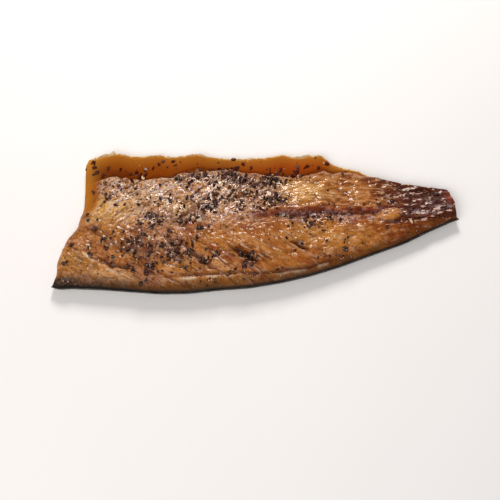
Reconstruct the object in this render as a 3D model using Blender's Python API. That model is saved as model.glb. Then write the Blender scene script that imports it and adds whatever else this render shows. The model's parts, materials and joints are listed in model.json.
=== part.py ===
"""A peppered smoked mackerel fillet, lying skin down with its flesh side up, as one solid.

Run with: blender --background --python part.py

X runs from the head cut to the tail cut, Y from the back edge to the belly edge, and Z up.
The fillet is a grid that is shaped by functions of two shares: s, from the head cut (0) to the
tail cut (1), and v, from the back edge (-1) to the belly edge (+1). t is a share of LENGTH.
"""

import math
import random

import bmesh
import bpy
import numpy as np
from mathutils import Euler, Matrix, Vector

# Driving dimensions, in metres.
MM = 0.001
LENGTH = 220 * MM
WIDTH = 82 * MM
THICKNESS = 14.5 * MM
FLAP_EDGE = 2.4 * MM
FLAP_ROOT = 5.6 * MM
SKIN_EDGE_HEIGHT = 3.4 * MM
SKIN_EDGE_WALL = 1.6 * MM

# The outline: pairs of (share of LENGTH from the head, share of WIDTH from the middle).
BELLY_EDGE = (
    (0.00, 0.425), (0.065, 0.440), (0.099, 0.479), (0.145, 0.503), (0.189, 0.476), (0.247, 0.491),
    (0.283, 0.475), (0.352, 0.500), (0.388, 0.470), (0.456, 0.463), (0.520, 0.466), (0.561, 0.494),
    (0.600, 0.472), (0.667, 0.492), (0.676, 0.455), (0.690, 0.418), (0.728, 0.388), (0.751, 0.380),
    (0.786, 0.328), (0.851, 0.283), (0.919, 0.251), (1.00, 0.232),
)
BACK_EDGE = (
    (0.00, -0.450), (0.011, -0.471), (0.042, -0.463), (0.118, -0.471), (0.197, -0.487), (0.263, -0.500),
    (0.330, -0.497), (0.409, -0.474), (0.482, -0.459), (0.558, -0.424), (0.630, -0.378), (0.704, -0.315),
    (0.781, -0.236), (0.866, -0.152), (0.930, -0.065), (1.00, 0.018),
)
OUTLINE_BLUR = 0.011

# The two cuts: pairs of (v, share of LENGTH from the head tip).
HEAD_CUT = (
    (-1.0, 0.000), (-0.93, 0.001), (-0.80, 0.009), (-0.64, 0.008), (-0.43, 0.020), (-0.27, 0.030),
    (-0.11, 0.054), (0.04, 0.058), (0.18, 0.067), (0.46, 0.067), (0.95, 0.064), (1.0, 0.074),
)
TAIL_CUT = ((-1.0, 1.000), (-0.35, 0.997), (0.13, 0.996), (0.62, 0.988), (1.0, 0.982))
CUT_BLUR = 0.05

# The thickness of the body, as shares of THICKNESS along the fish and across it.
THICKNESS_ALONG = (
    (0.0, 0.74), (0.12, 0.92), (0.35, 1.0), (0.5, 0.97), (0.7, 0.80), (0.85, 0.66), (1.0, 0.50),
)
THICKNESS_ACROSS = (
    (-1.0, 0.90), (-0.7, 0.98), (-0.4, 1.0), (-0.05, 0.92), (0.3, 0.77), (0.6, 0.58), (1.0, 0.46),
)
THICKNESS_BLUR = 0.08
BLUR_STEPS = 9
MIDDLE_LINE = (
    (0.0, -0.25), (0.14, -0.15), (0.286, -0.08), (0.45, 0.0), (0.62, -0.06), (0.74, -0.07),
    (0.82, 0.05), (0.90, -0.03), (1.0, -0.20),
)

# How far the surfaces roll over at the rims.
BACK_ROLL = 12 * MM
HEAD_ROLLS = ((-1.0, 6 * MM), (-0.1, 7 * MM), (0.4, 11 * MM), (1.0, 11 * MM))
HEAD_RIMS = ((-1.0, 0.52), (-0.1, 0.50), (0.4, 0.40), (1.0, 0.40))
TAIL_ROLL = 2.5 * MM
TAIL_RIM = 0.82

# The smooth thin belly flap: pairs of (share of LENGTH, width).
FLAP_WIDTHS = (
    (0.07, 16 * MM), (0.27, 15 * MM), (0.33, 12.4 * MM), (0.42, 8.8 * MM), (0.48, 9.8 * MM),
    (0.545, 15 * MM), (0.61, 13.2 * MM), (0.66, 11.5 * MM), (0.70, 5.5 * MM), (0.78, 2.5 * MM),
)
FLAP_END = 0.79
FLAP_END_FADE = 0.03
SHELF_FALL = 3.2 * MM
SHELF_LIP = 0.7 * MM
FLAP_RELIEF = 0.25

# The underside: skin that curves up to the back edge and a little at the other rims.
SKIN_BELLY_RISE = 0.9 * MM
SKIN_TAIL_RISE = 1.4 * MM
SKIN_HEAD_RISE = 1.0 * MM
SKIN_CURVE = 11 * MM
SKIN_SAG = 0.5 * MM

# The groove that the backbone left along the middle line, and the crease along the back.
SPINE_GROOVE_DEPTH = 1.9 * MM
SPINE_GROOVE_WIDTH = 2.6 * MM
SPINE_GROOVE_SPAN = (0.40, 0.90)
SPINE_GROOVE_FADES = (0.12, 0.08)
SPINE_RIDGE_HEIGHT = 0.7 * MM
SPINE_RIDGE_OFFSET = 4.2 * MM
BACK_CREASE_INSET = 7.8 * MM
BACK_CREASE_NARROWING = 0.55
BACK_CREASE_DEPTH = 0.9 * MM
BACK_CREASE_WIDTH = 1.5 * MM
BACK_CREASE_SPAN = (0.27, 0.74)
BACK_CREASE_FADES = (0.08, 0.10)

# Flakes of muscle lie one after the other, swept back from the middle line as chevrons.
FLAKE_PITCH = 9.2 * MM
FLAKE_SWEEP_BACK = 1.55
FLAKE_SWEEP_BELLY = 1.25
FLAKE_STEP = 0.42 * MM
FLAKE_EDGE = 0.16

# Where flakes have come apart: (t, v, length, width, depth, angle below +X in degrees, bend).
FLAKE_GAPS = (
    (0.068, -0.59, 7 * MM, 2.4 * MM, 1.0 * MM, 27, 0.0),
    (0.150, -0.69, 26 * MM, 4.0 * MM, 1.8 * MM, 16, 1.5 * MM),
    (0.300, -0.42, 19 * MM, 3.2 * MM, 1.7 * MM, 58, 0.6 * MM),
    (0.366, -0.61, 20 * MM, 4.2 * MM, 2.3 * MM, 36, 0.3 * MM),
    (0.470, -0.56, 22 * MM, 5.6 * MM, 2.5 * MM, 31, -1.3 * MM),
    (0.522, -0.62, 8 * MM, 2.2 * MM, 1.1 * MM, 36, 0.0),
    (0.604, -0.55, 13 * MM, 3.6 * MM, 2.1 * MM, 30, 0.2 * MM),
    (0.335, 0.10, 26 * MM, 3.4 * MM, 1.2 * MM, -42, 0.5 * MM),
    (0.466, 0.38, 26 * MM, 3.0 * MM, 1.0 * MM, -36, 0.6 * MM),
    (0.215, 0.16, 20 * MM, 2.8 * MM, 0.8 * MM, -34, 0.4 * MM),
)

# Broad swellings of the flesh: (t, v, length, width, height).
LUMPS = (
    (0.62, 0.22, 40 * MM, 13 * MM, 0.9 * MM),
    (0.13, -0.24, 24 * MM, 14 * MM, 0.7 * MM),
)

# A firm knob of flesh on the middle line near the tail: (t, v, length, width, height).
KNOB = (0.831, -0.09, 14.5 * MM, 8.0 * MM, 2.3 * MM)
KNOB_ANGLE = -8

# Soft unevenness: (wavelength along X, wavelength along Y, phase, height).
WAVES = (
    (46 * MM, 31 * MM, 0.7, 0.25 * MM),
    (23 * MM, 17 * MM, 2.1, 0.14 * MM),
    (13 * MM, 11 * MM, 4.4, 0.08 * MM),
)

# The grid that is shaped, and how far it is thinned out afterwards.
CELLS_ALONG = 230
CELLS_ACROSS = 80
BODY_TRIANGLES = 6000
CREASE_ANGLE = 35

# Cracked peppercorns: the largest of them are fused to the flesh.
GRAIN_SEED = 11
GRAIN_COUNT = 180
LARGEST_GRAIN = 2.5 * MM
SMALLEST_GRAIN = 1.5 * MM
GRAIN_FALL = 0.6
GRAIN_GAP = 0.2 * MM
GRAIN_SINK = 0.14
GRAIN_RIM = 3.0 * MM

# The shape of a grain, as ranges that chance picks from: shares of its size, and radians.
GRAIN_SIDES = 5
GRAIN_TOP = (0.45, 0.85)
GRAIN_HEIGHT = (0.75, 1.0)
GRAIN_LENGTH = (0.85, 1.1)
GRAIN_WIDTH = (0.65, 0.95)
GRAIN_LEAN = (-0.5, 0.5)
GRAIN_TURN = (0.0, 2 * math.pi)

# Where the pepper lies thick: (t, v, reach along, reach across, strength).
PEPPER_CLUMPS = (
    (0.47, 0.60, 13 * MM, 6 * MM, 1.0),
    (0.53, 0.55, 9 * MM, 6 * MM, 0.9),
    (0.40, 0.70, 11 * MM, 4 * MM, 0.8),
    (0.34, 0.60, 9 * MM, 4 * MM, 0.6),
    (0.54, 0.27, 8 * MM, 5 * MM, 1.0),
    (0.455, 0.28, 8 * MM, 6 * MM, 0.5),
    (0.365, 0.12, 7 * MM, 6 * MM, 0.8),
    (0.33, -0.04, 7 * MM, 5 * MM, 0.6),
    (0.24, -0.05, 6 * MM, 5 * MM, 0.8),
    (0.20, 0.32, 20 * MM, 10 * MM, 0.14),
    (0.12, 0.30, 5 * MM, 3 * MM, 0.4),
    (0.21, 0.64, 3.5 * MM, 1.8 * MM, 0.9),
    (0.081, 0.889, 3 * MM, 1.8 * MM, 0.6),
    (0.116, 0.757, 3 * MM, 1.8 * MM, 0.6),
    (0.235, -0.46, 8 * MM, 8 * MM, 0.5),
    (0.30, -0.50, 6 * MM, 6 * MM, 0.8),
    (0.20, -0.37, 5 * MM, 4 * MM, 0.7),
    (0.36, -0.58, 6 * MM, 3 * MM, 0.5),
    (0.478, -0.67, 5 * MM, 4 * MM, 0.5),
    (0.60, -0.06, 15 * MM, 3 * MM, 0.6),
    (0.62, -0.20, 8 * MM, 4 * MM, 0.4),
    (0.13, -0.38, 12 * MM, 6 * MM, 0.35),
    (0.23, -0.80, 7 * MM, 3 * MM, 0.3),
    (0.22, 0.74, 30 * MM, 4 * MM, 0.25),
    (0.62, 0.68, 15 * MM, 3 * MM, 0.35),
    (0.69, -0.77, 9 * MM, 3 * MM, 0.3),
)
PEPPER_BASE = 0.035

FLESH_COLOUR = (0.37, 0.145, 0.042, 1.0)
FLESH_ROUGHNESS = 0.38


def blurred(at, pairs, reach):
    """The polyline through the pairs, rounded off over the reach on either side."""
    stations = np.array(pairs)
    steps = np.linspace(-reach, reach, BLUR_STEPS)
    return sum(np.interp(at + step, stations[:, 0], stations[:, 1]) for step in steps) / len(steps)


def smooth(value, low, high):
    """0 below low, 1 above high, and an even rise between them."""
    share = np.clip((value - low) / (high - low), 0.0, 1.0)
    return share * share * (3 - 2 * share)


def rolled(distance, reach):
    """A quarter round: 0 at the rim and 1 from the reach inwards."""
    share = np.clip(distance / reach, 0.0, 1.0)
    return np.sqrt(1 - (1 - share) ** 2)


def middle_line(t):
    """v of the line where the backbone lay."""
    return blurred(t, MIDDLE_LINE, THICKNESS_BLUR)


def plan(s, v):
    """x, y and t of a place on the fillet, seen from above."""
    head = blurred(v, HEAD_CUT, CUT_BLUR)
    tail = blurred(v, TAIL_CUT, CUT_BLUR)
    t = head + (tail - head) * s
    back = WIDTH * blurred(t, BACK_EDGE, OUTLINE_BLUR)
    belly = WIDTH * blurred(t, BELLY_EDGE, OUTLINE_BLUR)
    return (t - 0.5) * LENGTH, back + (belly - back) * (v + 1) / 2, t


def plan_of(t, v):
    """x and y of a feature that is placed by its share of the length."""
    head = blurred(v, HEAD_CUT, CUT_BLUR)
    tail = blurred(v, TAIL_CUT, CUT_BLUR)
    x, y, _ = plan((t - head) / (tail - head), v)
    return x, y


def rims(s, v):
    """Distances to the back edge, the belly edge, the head cut and the tail cut."""
    x, y, t = plan(s, v)
    to_back = y - WIDTH * blurred(t, BACK_EDGE, OUTLINE_BLUR)
    to_belly = WIDTH * blurred(t, BELLY_EDGE, OUTLINE_BLUR) - y
    to_head = x - (blurred(v, HEAD_CUT, CUT_BLUR) - 0.5) * LENGTH
    to_tail = (blurred(v, TAIL_CUT, CUT_BLUR) - 0.5) * LENGTH - x
    return to_back, to_belly, to_head, to_tail


def flap(s, v):
    """How far a place is on the belly flap, and how far up the flap's gentle slope."""
    _, to_belly, _, _ = rims(s, v)
    _, _, t = plan(s, v)
    half = SHELF_FALL / 2
    width = blurred(t, FLAP_WIDTHS, THICKNESS_BLUR / 4)
    there = 1 - smooth(t, FLAP_END - FLAP_END_FADE, FLAP_END + FLAP_END_FADE)
    inside = to_belly + half - (width + half) * there
    return 1 - smooth(inside, -half, half), np.clip(to_belly / width, 0.0, 1.0)


def turned(x, y, centre, angle):
    """How far a place is from the centre, along and across the angle in degrees below +X."""
    turn = math.radians(-angle)
    along = (x - centre[0]) * math.cos(turn) + (y - centre[1]) * math.sin(turn)
    across = (y - centre[1]) * math.cos(turn) - (x - centre[0]) * math.sin(turn)
    return along, across


def streak(x, y, centre, length, width, angle, bend=0.0):
    """A long soft spot, 1 in its middle and 0 outside."""
    along, across = turned(x, y, centre, angle)
    share = np.clip(2 * along / length, -1.0, 1.0)
    across = across - bend * share ** 2
    return (1 - share ** 2) * np.exp(-((2 * across / width) ** 2))


def knob(x, y):
    """Height of the firm knob near the tail, which is a dome."""
    t, v, length, width, rise = KNOB
    along, across = turned(x, y, plan_of(t, v), KNOB_ANGLE)
    return rise * np.sqrt(np.clip(1 - (2 * along / length) ** 2 - (2 * across / width) ** 2, 0.0, 1.0))


def flake_steps(x, y, t):
    """Shingled flakes: each rises slowly and drops at its rear edge, along swept-back lines."""
    _, middle_y = plan_of(t, middle_line(t))
    off = y - middle_y
    sweep = np.where(off < 0, -off * FLAKE_SWEEP_BACK, off * FLAKE_SWEEP_BELLY)
    phase = ((x - sweep) / FLAKE_PITCH) % 1.0
    rise = phase / (1 - FLAKE_EDGE)
    fall = (1 - phase) / FLAKE_EDGE
    return FLAKE_STEP * (np.minimum(rise, fall) - 0.5)


def relief(s, v):
    """How far the flesh stands above its smooth form: flakes, gaps, grooves and lumps."""
    x, y, t = plan(s, v)
    to_back, _, _, _ = rims(s, v)
    height = flake_steps(x, y, t) + knob(x, y)
    for t_gap, v_gap, length, width, depth, angle, bend in FLAKE_GAPS:
        height = height - depth * streak(x, y, plan_of(t_gap, v_gap), length, width, angle, bend)
    for t_lump, v_lump, length, width, rise in LUMPS:
        height = height + rise * streak(x, y, plan_of(t_lump, v_lump), length, width, 0)

    _, spine_y = plan_of(t, middle_line(t))
    low, high = SPINE_GROOVE_SPAN
    fade_in, fade_out = SPINE_GROOVE_FADES
    spine = smooth(t, low, low + fade_in) * (1 - smooth(t, high - fade_out, high))
    off = (y - spine_y) / SPINE_GROOVE_WIDTH
    ridge = off - SPINE_RIDGE_OFFSET / SPINE_GROOVE_WIDTH
    height = height - SPINE_GROOVE_DEPTH * spine * np.exp(-(off ** 2))
    height = height + SPINE_RIDGE_HEIGHT * spine * np.exp(-(ridge ** 2))

    low, high = BACK_CREASE_SPAN
    fade_in, fade_out = BACK_CREASE_FADES
    crease = smooth(t, low, low + fade_in) * (1 - smooth(t, high - fade_out, high))
    inset = BACK_CREASE_INSET * (1 - BACK_CREASE_NARROWING * smooth(t, low, high))
    off = (to_back - inset) / BACK_CREASE_WIDTH
    height = height - BACK_CREASE_DEPTH * crease * np.exp(-(off ** 2))

    for wave_x, wave_y, phase, rise in WAVES:
        along = np.sin(2 * math.pi * x / wave_x + phase)
        height = height + rise * along * np.cos(2 * math.pi * y / wave_y + 2 * phase)
    return height


def under_height(s, v):
    """Height of the skin, below 0 where the fish's round side will be pressed flat."""
    to_back, to_belly, to_head, to_tail = rims(s, v)
    rise = SKIN_EDGE_HEIGHT * (1 - smooth(to_back, -SKIN_CURVE, SKIN_CURVE)) * 2
    rise = rise + SKIN_BELLY_RISE * (1 - rolled(to_belly, SKIN_CURVE))
    rise = rise + SKIN_HEAD_RISE * (1 - rolled(to_head, SKIN_CURVE))
    rise = rise + SKIN_TAIL_RISE * (1 - rolled(to_tail, SKIN_CURVE))
    return rise - SKIN_SAG


def top_height(s, v):
    """Height of the flesh above the surface that the fillet lies on."""
    _, _, t = plan(s, v)
    to_back, _, to_head, to_tail = rims(s, v)
    along = blurred(t, THICKNESS_ALONG, THICKNESS_BLUR)
    across = blurred(v, THICKNESS_ACROSS, THICKNESS_BLUR)
    on_flap, slope = flap(s, v)
    # The product is at most a quarter, halfway down the fall.
    lip = SHELF_LIP * 4 * on_flap * (1 - on_flap)
    body = THICKNESS * along * across + relief(s, v) + lip

    head_rim = blurred(v, HEAD_RIMS, THICKNESS_BLUR)
    head = head_rim + (1 - head_rim) * rolled(to_head, blurred(v, HEAD_ROLLS, THICKNESS_BLUR))
    tail = TAIL_RIM + (1 - TAIL_RIM) * rolled(to_tail, TAIL_ROLL)
    body = body * head * tail
    edge = SKIN_EDGE_HEIGHT + SKIN_EDGE_WALL
    body = edge + (body - edge) * rolled(to_back, BACK_ROLL)

    thin = np.maximum(under_height(s, v), 0) + FLAP_EDGE + (FLAP_ROOT - FLAP_EDGE) * slope * head
    thin = thin + FLAP_RELIEF * relief(s, v)
    return body + (thin - body) * on_flap


def pepper_density(x, y):
    """How thick the pepper lies, from PEPPER_BASE up to about 1."""
    density = PEPPER_BASE
    for t_clump, v_clump, reach_x, reach_y, strength in PEPPER_CLUMPS:
        centre_x, centre_y = plan_of(t_clump, v_clump)
        far = ((x - centre_x) / reach_x) ** 2 + ((y - centre_y) / reach_y) ** 2
        density = density + strength * math.exp(-far)
    return density


def clear_scene():
    for obj in list(bpy.data.objects):
        bpy.data.objects.remove(obj)


def new_collection(name):
    collection = bpy.data.collections.new(name)
    bpy.context.scene.collection.children.link(collection)
    return collection


def add_object(name, mesh, collection):
    obj = bpy.data.objects.new(name, mesh)
    collection.objects.link(obj)
    return obj


def flesh_material():
    material = bpy.data.materials.new("smoked_flesh")
    material.use_nodes = True
    shader = material.node_tree.nodes["Principled BSDF"]
    shader.inputs["Base Color"].default_value = FLESH_COLOUR
    shader.inputs["Roughness"].default_value = FLESH_ROUGHNESS
    return material


def fillet_mesh():
    """The closed body: one grid is the flesh side, and its extrusion is the skin side."""
    bm = bmesh.new()
    bmesh.ops.create_grid(bm, x_segments=CELLS_ALONG, y_segments=CELLS_ACROSS, size=1.0)
    flesh = [(vert, (vert.co.x + 1) / 2, vert.co.y) for vert in bm.verts]
    made = bmesh.ops.extrude_face_region(bm, geom=bm.faces[:])["geom"]
    skin = [item for item in made if isinstance(item, bmesh.types.BMVert)]
    skin = [(vert, (vert.co.x + 1) / 2, vert.co.y) for vert in skin]
    for side, height in ((flesh, top_height), (skin, under_height)):
        s = np.array([place[1] for place in side])
        v = np.array([place[2] for place in side])
        x, y, _ = plan(s, v)
        for (vert, _, _), *corner in zip(side, x, y, height(s, v)):
            vert.co = corner
    bmesh.ops.recalc_face_normals(bm, faces=bm.faces[:])
    mesh = bpy.data.meshes.new("fillet")
    bm.to_mesh(mesh)
    bm.free()
    return mesh


def thin_out(obj, triangles):
    """Merges faces where the form is plain, and keeps them where there is relief."""
    thin = obj.modifiers.new("thin_out", "DECIMATE")
    count = sum(len(face.vertices) - 2 for face in obj.data.polygons)
    thin.ratio = triangles / count
    thin.use_collapse_triangulate = True


def press_flat(obj, cutters):
    """Cuts the sagging underside off at z = 0, where the fillet rests."""
    bpy.ops.mesh.primitive_cube_add(size=1, location=(0, 0, -THICKNESS / 2))
    slab = bpy.context.object
    slab.name = "resting_plane_cutter"
    slab.dimensions = (LENGTH * 1.5, WIDTH * 1.5, THICKNESS)
    for holder in list(slab.users_collection):
        holder.objects.unlink(slab)
    cutters.objects.link(slab)
    slab.hide_render = True
    slab.display_type = "WIRE"
    cut = obj.modifiers.new("press_flat", "BOOLEAN")
    cut.operation = "DIFFERENCE"
    cut.object = slab


def grain_places():
    """x, y, z and size of each large piece of pepper, the largest first and none too close."""
    draw = random.Random(GRAIN_SEED)
    places = []
    while len(places) < GRAIN_COUNT:
        s, v = draw.random(), draw.uniform(-1, 1)
        chance = draw.random()
        if min(rims(s, v)) < GRAIN_RIM:
            continue
        x, y, _ = plan(s, v)
        if chance > pepper_density(x, y):
            continue
        share = len(places) / (GRAIN_COUNT - 1)
        size = LARGEST_GRAIN + (SMALLEST_GRAIN - LARGEST_GRAIN) * share ** GRAIN_FALL
        near = [math.hypot(x - place[0], y - place[1]) - (size + place[3]) / 2 for place in places]
        if near and min(near) < GRAIN_GAP:
            continue
        places.append((x, y, top_height(s, v), size))
    return places


def add_grain(number, place, draw, collection):
    """One cracked peppercorn: a squat, leaning block with a few flat faces, sunk into the flesh."""
    x, y, z, size = place
    bm = bmesh.new()
    foot = size / 2
    bmesh.ops.create_cone(bm, cap_ends=True, segments=GRAIN_SIDES, radius1=foot,
                          radius2=foot * draw.uniform(*GRAIN_TOP), depth=size * draw.uniform(*GRAIN_HEIGHT))
    stretch = Matrix.Diagonal((draw.uniform(*GRAIN_LENGTH), draw.uniform(*GRAIN_WIDTH), 1, 1))
    lean = Euler([draw.uniform(*span) for span in (GRAIN_LEAN, GRAIN_LEAN, GRAIN_TURN)]).to_matrix()
    sit = Matrix.Translation(Vector((x, y, z + GRAIN_SINK * size)))
    bmesh.ops.transform(bm, matrix=sit @ lean.to_4x4() @ stretch, verts=bm.verts)
    mesh = bpy.data.meshes.new(f"grain_{number:03d}")
    bm.to_mesh(mesh)
    bm.free()
    return add_object(mesh.name, mesh, collection)


def fuse_pepper(obj):
    """Joins the pepper to the fillet with one Boolean union, and removes the loose grains."""
    pepper = new_collection("pepper")
    draw = random.Random(GRAIN_SEED + 1)
    for number, place in enumerate(grain_places()):
        add_grain(number, place, draw, pepper)
    fuse = obj.modifiers.new("fuse_pepper", "BOOLEAN")
    fuse.operation = "UNION"
    fuse.operand_type = "COLLECTION"
    fuse.collection = pepper
    fuse.solver = "EXACT"
    graph = bpy.context.evaluated_depsgraph_get()
    fused = bpy.data.meshes.new_from_object(obj.evaluated_get(graph))
    obj.modifiers.clear()
    obj.data = fused
    for grain in list(pepper.objects):
        bpy.data.objects.remove(grain)
    bpy.data.collections.remove(pepper)


def main():
    clear_scene()
    food = new_collection("peppered_mackerel_fillet")
    cutters = new_collection("cutters")
    fillet = add_object("fillet", fillet_mesh(), food)
    thin_out(fillet, BODY_TRIANGLES)
    press_flat(fillet, cutters)
    fuse_pepper(fillet)
    fillet.data.materials.clear()
    fillet.data.materials.append(flesh_material())
    fillet.data.shade_smooth()
    fillet.data.set_sharp_from_angle(angle=math.radians(CREASE_ANGLE))


main()
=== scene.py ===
"""The looks of a peppered smoked mackerel fillet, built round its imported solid.

The fillet lies skin down. In metres, X runs from the head cut to the tail cut, Y from the back
edge to the belly edge, and Z up. A place on it is given by s, the share of the way from the head
cut (0) to the tail cut (1), and v, from the back edge (-1) to the belly edge (+1). t is a share
of LENGTH. The form repeats the solid's named sizes, and adds the finer relief of the flesh.
"""
import json
import math
import random
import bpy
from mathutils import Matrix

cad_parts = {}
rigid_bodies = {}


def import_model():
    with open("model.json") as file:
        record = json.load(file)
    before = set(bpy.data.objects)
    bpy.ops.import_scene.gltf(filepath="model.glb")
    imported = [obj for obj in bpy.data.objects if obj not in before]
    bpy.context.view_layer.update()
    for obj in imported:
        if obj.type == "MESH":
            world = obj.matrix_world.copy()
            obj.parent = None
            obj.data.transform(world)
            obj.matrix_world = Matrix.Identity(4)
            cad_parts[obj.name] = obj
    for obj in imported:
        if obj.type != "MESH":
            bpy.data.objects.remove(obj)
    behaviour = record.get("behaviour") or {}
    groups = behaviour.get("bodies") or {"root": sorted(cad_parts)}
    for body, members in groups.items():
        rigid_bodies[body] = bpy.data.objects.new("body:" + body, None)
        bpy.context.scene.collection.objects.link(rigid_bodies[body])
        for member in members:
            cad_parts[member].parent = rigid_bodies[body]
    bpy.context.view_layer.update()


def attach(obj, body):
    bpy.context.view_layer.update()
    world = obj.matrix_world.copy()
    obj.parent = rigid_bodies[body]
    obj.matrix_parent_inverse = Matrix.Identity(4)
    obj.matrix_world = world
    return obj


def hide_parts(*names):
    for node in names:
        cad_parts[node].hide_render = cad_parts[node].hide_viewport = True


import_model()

from types import SimpleNamespace

import bmesh
import bpy
import numpy as np
from mathutils import Matrix, Vector

# The solid's own sizes, in metres. Tables say where they give mm, and angles are degrees below +X.
MM = 0.001
LENGTH = 220 * MM
WIDTH = 82 * MM
THICKNESS = 14.5 * MM
FLAP_EDGE = 2.4 * MM
FLAP_ROOT = 5.6 * MM
SKIN_EDGE_HEIGHT = 3.4 * MM
SKIN_EDGE_WALL = 1.6 * MM

# The outline: pairs of (share of LENGTH from the head, share of WIDTH from the middle).
BELLY_EDGE = (
    (0.00, 0.425), (0.065, 0.440), (0.099, 0.479), (0.145, 0.503), (0.189, 0.476), (0.247, 0.491),
    (0.283, 0.475), (0.352, 0.500), (0.388, 0.470), (0.456, 0.463), (0.520, 0.466), (0.561, 0.494),
    (0.600, 0.472), (0.667, 0.492), (0.676, 0.455), (0.690, 0.418), (0.728, 0.388), (0.751, 0.380),
    (0.786, 0.328), (0.851, 0.283), (0.919, 0.251), (1.00, 0.232),
)
BACK_EDGE = (
    (0.00, -0.450), (0.011, -0.471), (0.042, -0.463), (0.118, -0.471), (0.197, -0.487),
    (0.263, -0.500), (0.330, -0.497), (0.409, -0.474), (0.482, -0.459), (0.558, -0.424),
    (0.630, -0.378), (0.704, -0.315), (0.781, -0.236), (0.866, -0.152), (0.930, -0.065), (1.00, 0.018),
)
OUTLINE_BLUR = 0.011

# The two cuts: pairs of (v, share of LENGTH from the head tip).
HEAD_CUT = (
    (-1.0, 0.000), (-0.93, 0.001), (-0.80, 0.009), (-0.64, 0.008), (-0.43, 0.020), (-0.27, 0.030),
    (-0.11, 0.054), (0.04, 0.058), (0.18, 0.067), (0.46, 0.067), (0.95, 0.064), (1.0, 0.074),
)
TAIL_CUT = ((-1.0, 1.000), (-0.35, 0.997), (0.13, 0.996), (0.62, 0.988), (1.0, 0.982))
CUT_BLUR = 0.05
BLUR_STEPS = 9

# The thickness of the body, as shares of THICKNESS along the fish and across it.
THICKNESS_ALONG = (
    (0.0, 0.74), (0.12, 0.92), (0.35, 1.0), (0.5, 0.97), (0.7, 0.80), (0.85, 0.66), (1.0, 0.50),
)
THICKNESS_ACROSS = (
    (-1.0, 0.90), (-0.7, 0.98), (-0.4, 1.0), (-0.05, 0.92), (0.3, 0.77), (0.6, 0.58), (1.0, 0.46),
)
THICKNESS_BLUR = 0.08
MIDDLE_LINE = (
    (0.0, -0.25), (0.14, -0.15), (0.286, -0.08), (0.45, 0.0), (0.62, -0.06), (0.74, -0.07),
    (0.82, 0.05), (0.90, -0.03), (1.0, -0.20),
)

# How far the surfaces roll over at the rims.
BACK_ROLL = 12 * MM
HEAD_ROLLS = ((-1.0, 6 * MM), (-0.1, 7 * MM), (0.4, 11 * MM), (1.0, 11 * MM))
HEAD_RIMS = ((-1.0, 0.52), (-0.1, 0.50), (0.4, 0.40), (1.0, 0.40))
TAIL_ROLL = 2.5 * MM
TAIL_RIM = 0.82

# The smooth thin belly flap: pairs of (share of LENGTH, width).
FLAP_WIDTHS = (
    (0.07, 16 * MM), (0.27, 15 * MM), (0.33, 12.4 * MM), (0.42, 8.8 * MM), (0.48, 9.8 * MM),
    (0.545, 15 * MM), (0.61, 13.2 * MM), (0.66, 11.5 * MM), (0.70, 5.5 * MM), (0.78, 2.5 * MM),
)
FLAP_END = 0.79
FLAP_FADE = 0.03
FLAP_FALL = 3.2 * MM
FLAP_LIP = 0.9 * MM
FLAP_FOLD = 0.5 * MM
FLAP_RAGGED = 1.6 * MM
FLAP_RELIEF = 0.07
FLAP_SWELL = 0.35 * MM

# The underside: skin that curves up to the back edge and a little at the other rims.
SKIN_BELLY_RISE = 0.9 * MM
SKIN_TAIL_RISE = 1.4 * MM
SKIN_HEAD_RISE = 1.0 * MM
SKIN_CURVE = 11 * MM
SKIN_SAG = 0.5 * MM
SKIN_THICKNESS = 0.45 * MM
SKIN_LIP = 0.5 * MM
SKIN_TIP = 0.7 * MM
SKIN_TIP_SPAN = 0.02
SKIN_CRUMPLE = 0.35 * MM

# The groove that the backbone left along the middle line, and the crease along the back.
SPINE_WANDER = 0.8 * MM
SPINE_GROOVE_DEPTH = 1.9 * MM
SPINE_GROOVE_WIDTH = 2.6 * MM
SPINE_GROOVE_SPAN = (0.40, 0.90)
SPINE_RIDGE_HEIGHT = 0.7 * MM
SPINE_RIDGE_OFFSET = 4.2 * MM
BACK_CREASE_INSET = 7.8 * MM
BACK_CREASE_NARROWING = 0.55
BACK_CREASE_WANDER = 0.6 * MM
BACK_CREASE_DEPTH = 0.9 * MM
BACK_CREASE_FULLNESS = 1.3
BACK_CREASE_WIDTH = 1.5 * MM
BACK_CREASE_SPAN = (0.27, 0.74)
BACK_CREASE_LIP = 0.35 * MM

# Flakes of muscle, swept back from the middle line as chevrons.
FLAKE_PITCH = 9.2 * MM
FLAKE_SWEEP_BACK = 1.55
FLAKE_SWEEP_BELLY = 1.25
FLAKE_STEP = 0.6 * MM
FLAKE_EDGE = 0.07
FLAKE_WANDER = 4.0 * MM

# Where flakes have come apart: (t, v, mm long, mm wide, mm deep, angle, mm of bend).
FLAKE_GAPS = (
    (0.068, -0.59, 7, 2.4, 1.0, 27, 0.0), (0.150, -0.69, 26, 4.0, 1.8, 16, 1.5),
    (0.300, -0.42, 19, 3.2, 1.7, 58, 0.6), (0.366, -0.61, 20, 4.2, 2.3, 36, 0.3),
    (0.470, -0.56, 22, 5.6, 2.5, 31, -1.3), (0.522, -0.62, 8, 2.2, 1.1, 36, 0.0),
    (0.604, -0.55, 13, 3.6, 2.1, 30, 0.2), (0.335, 0.10, 26, 3.4, 1.2, -42, 0.5),
    (0.466, 0.38, 26, 3.0, 1.0, -36, 0.6), (0.215, 0.16, 20, 2.8, 0.8, -34, 0.4),
)
GAP_LIP = 0.45 * MM
GAP_SLOPE = 1.5
GAP_FULLNESS = 1.15

# Round lumps of flesh that stand proud: (t, v, mm long, mm wide, mm high).
LUMPS = ((0.62, 0.22, 40, 13, 0.9), (0.13, -0.24, 24, 14, 0.7))

# A firm knob of flesh on the middle line near the tail: (t, v, mm long, angle).
KNOB = (0.831, -0.09, 14.5, -8)
KNOB_WIDTH = 8.0 * MM
KNOB_HEIGHT = 2.3 * MM
KNOB_WANDER = 0.6 * MM

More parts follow.
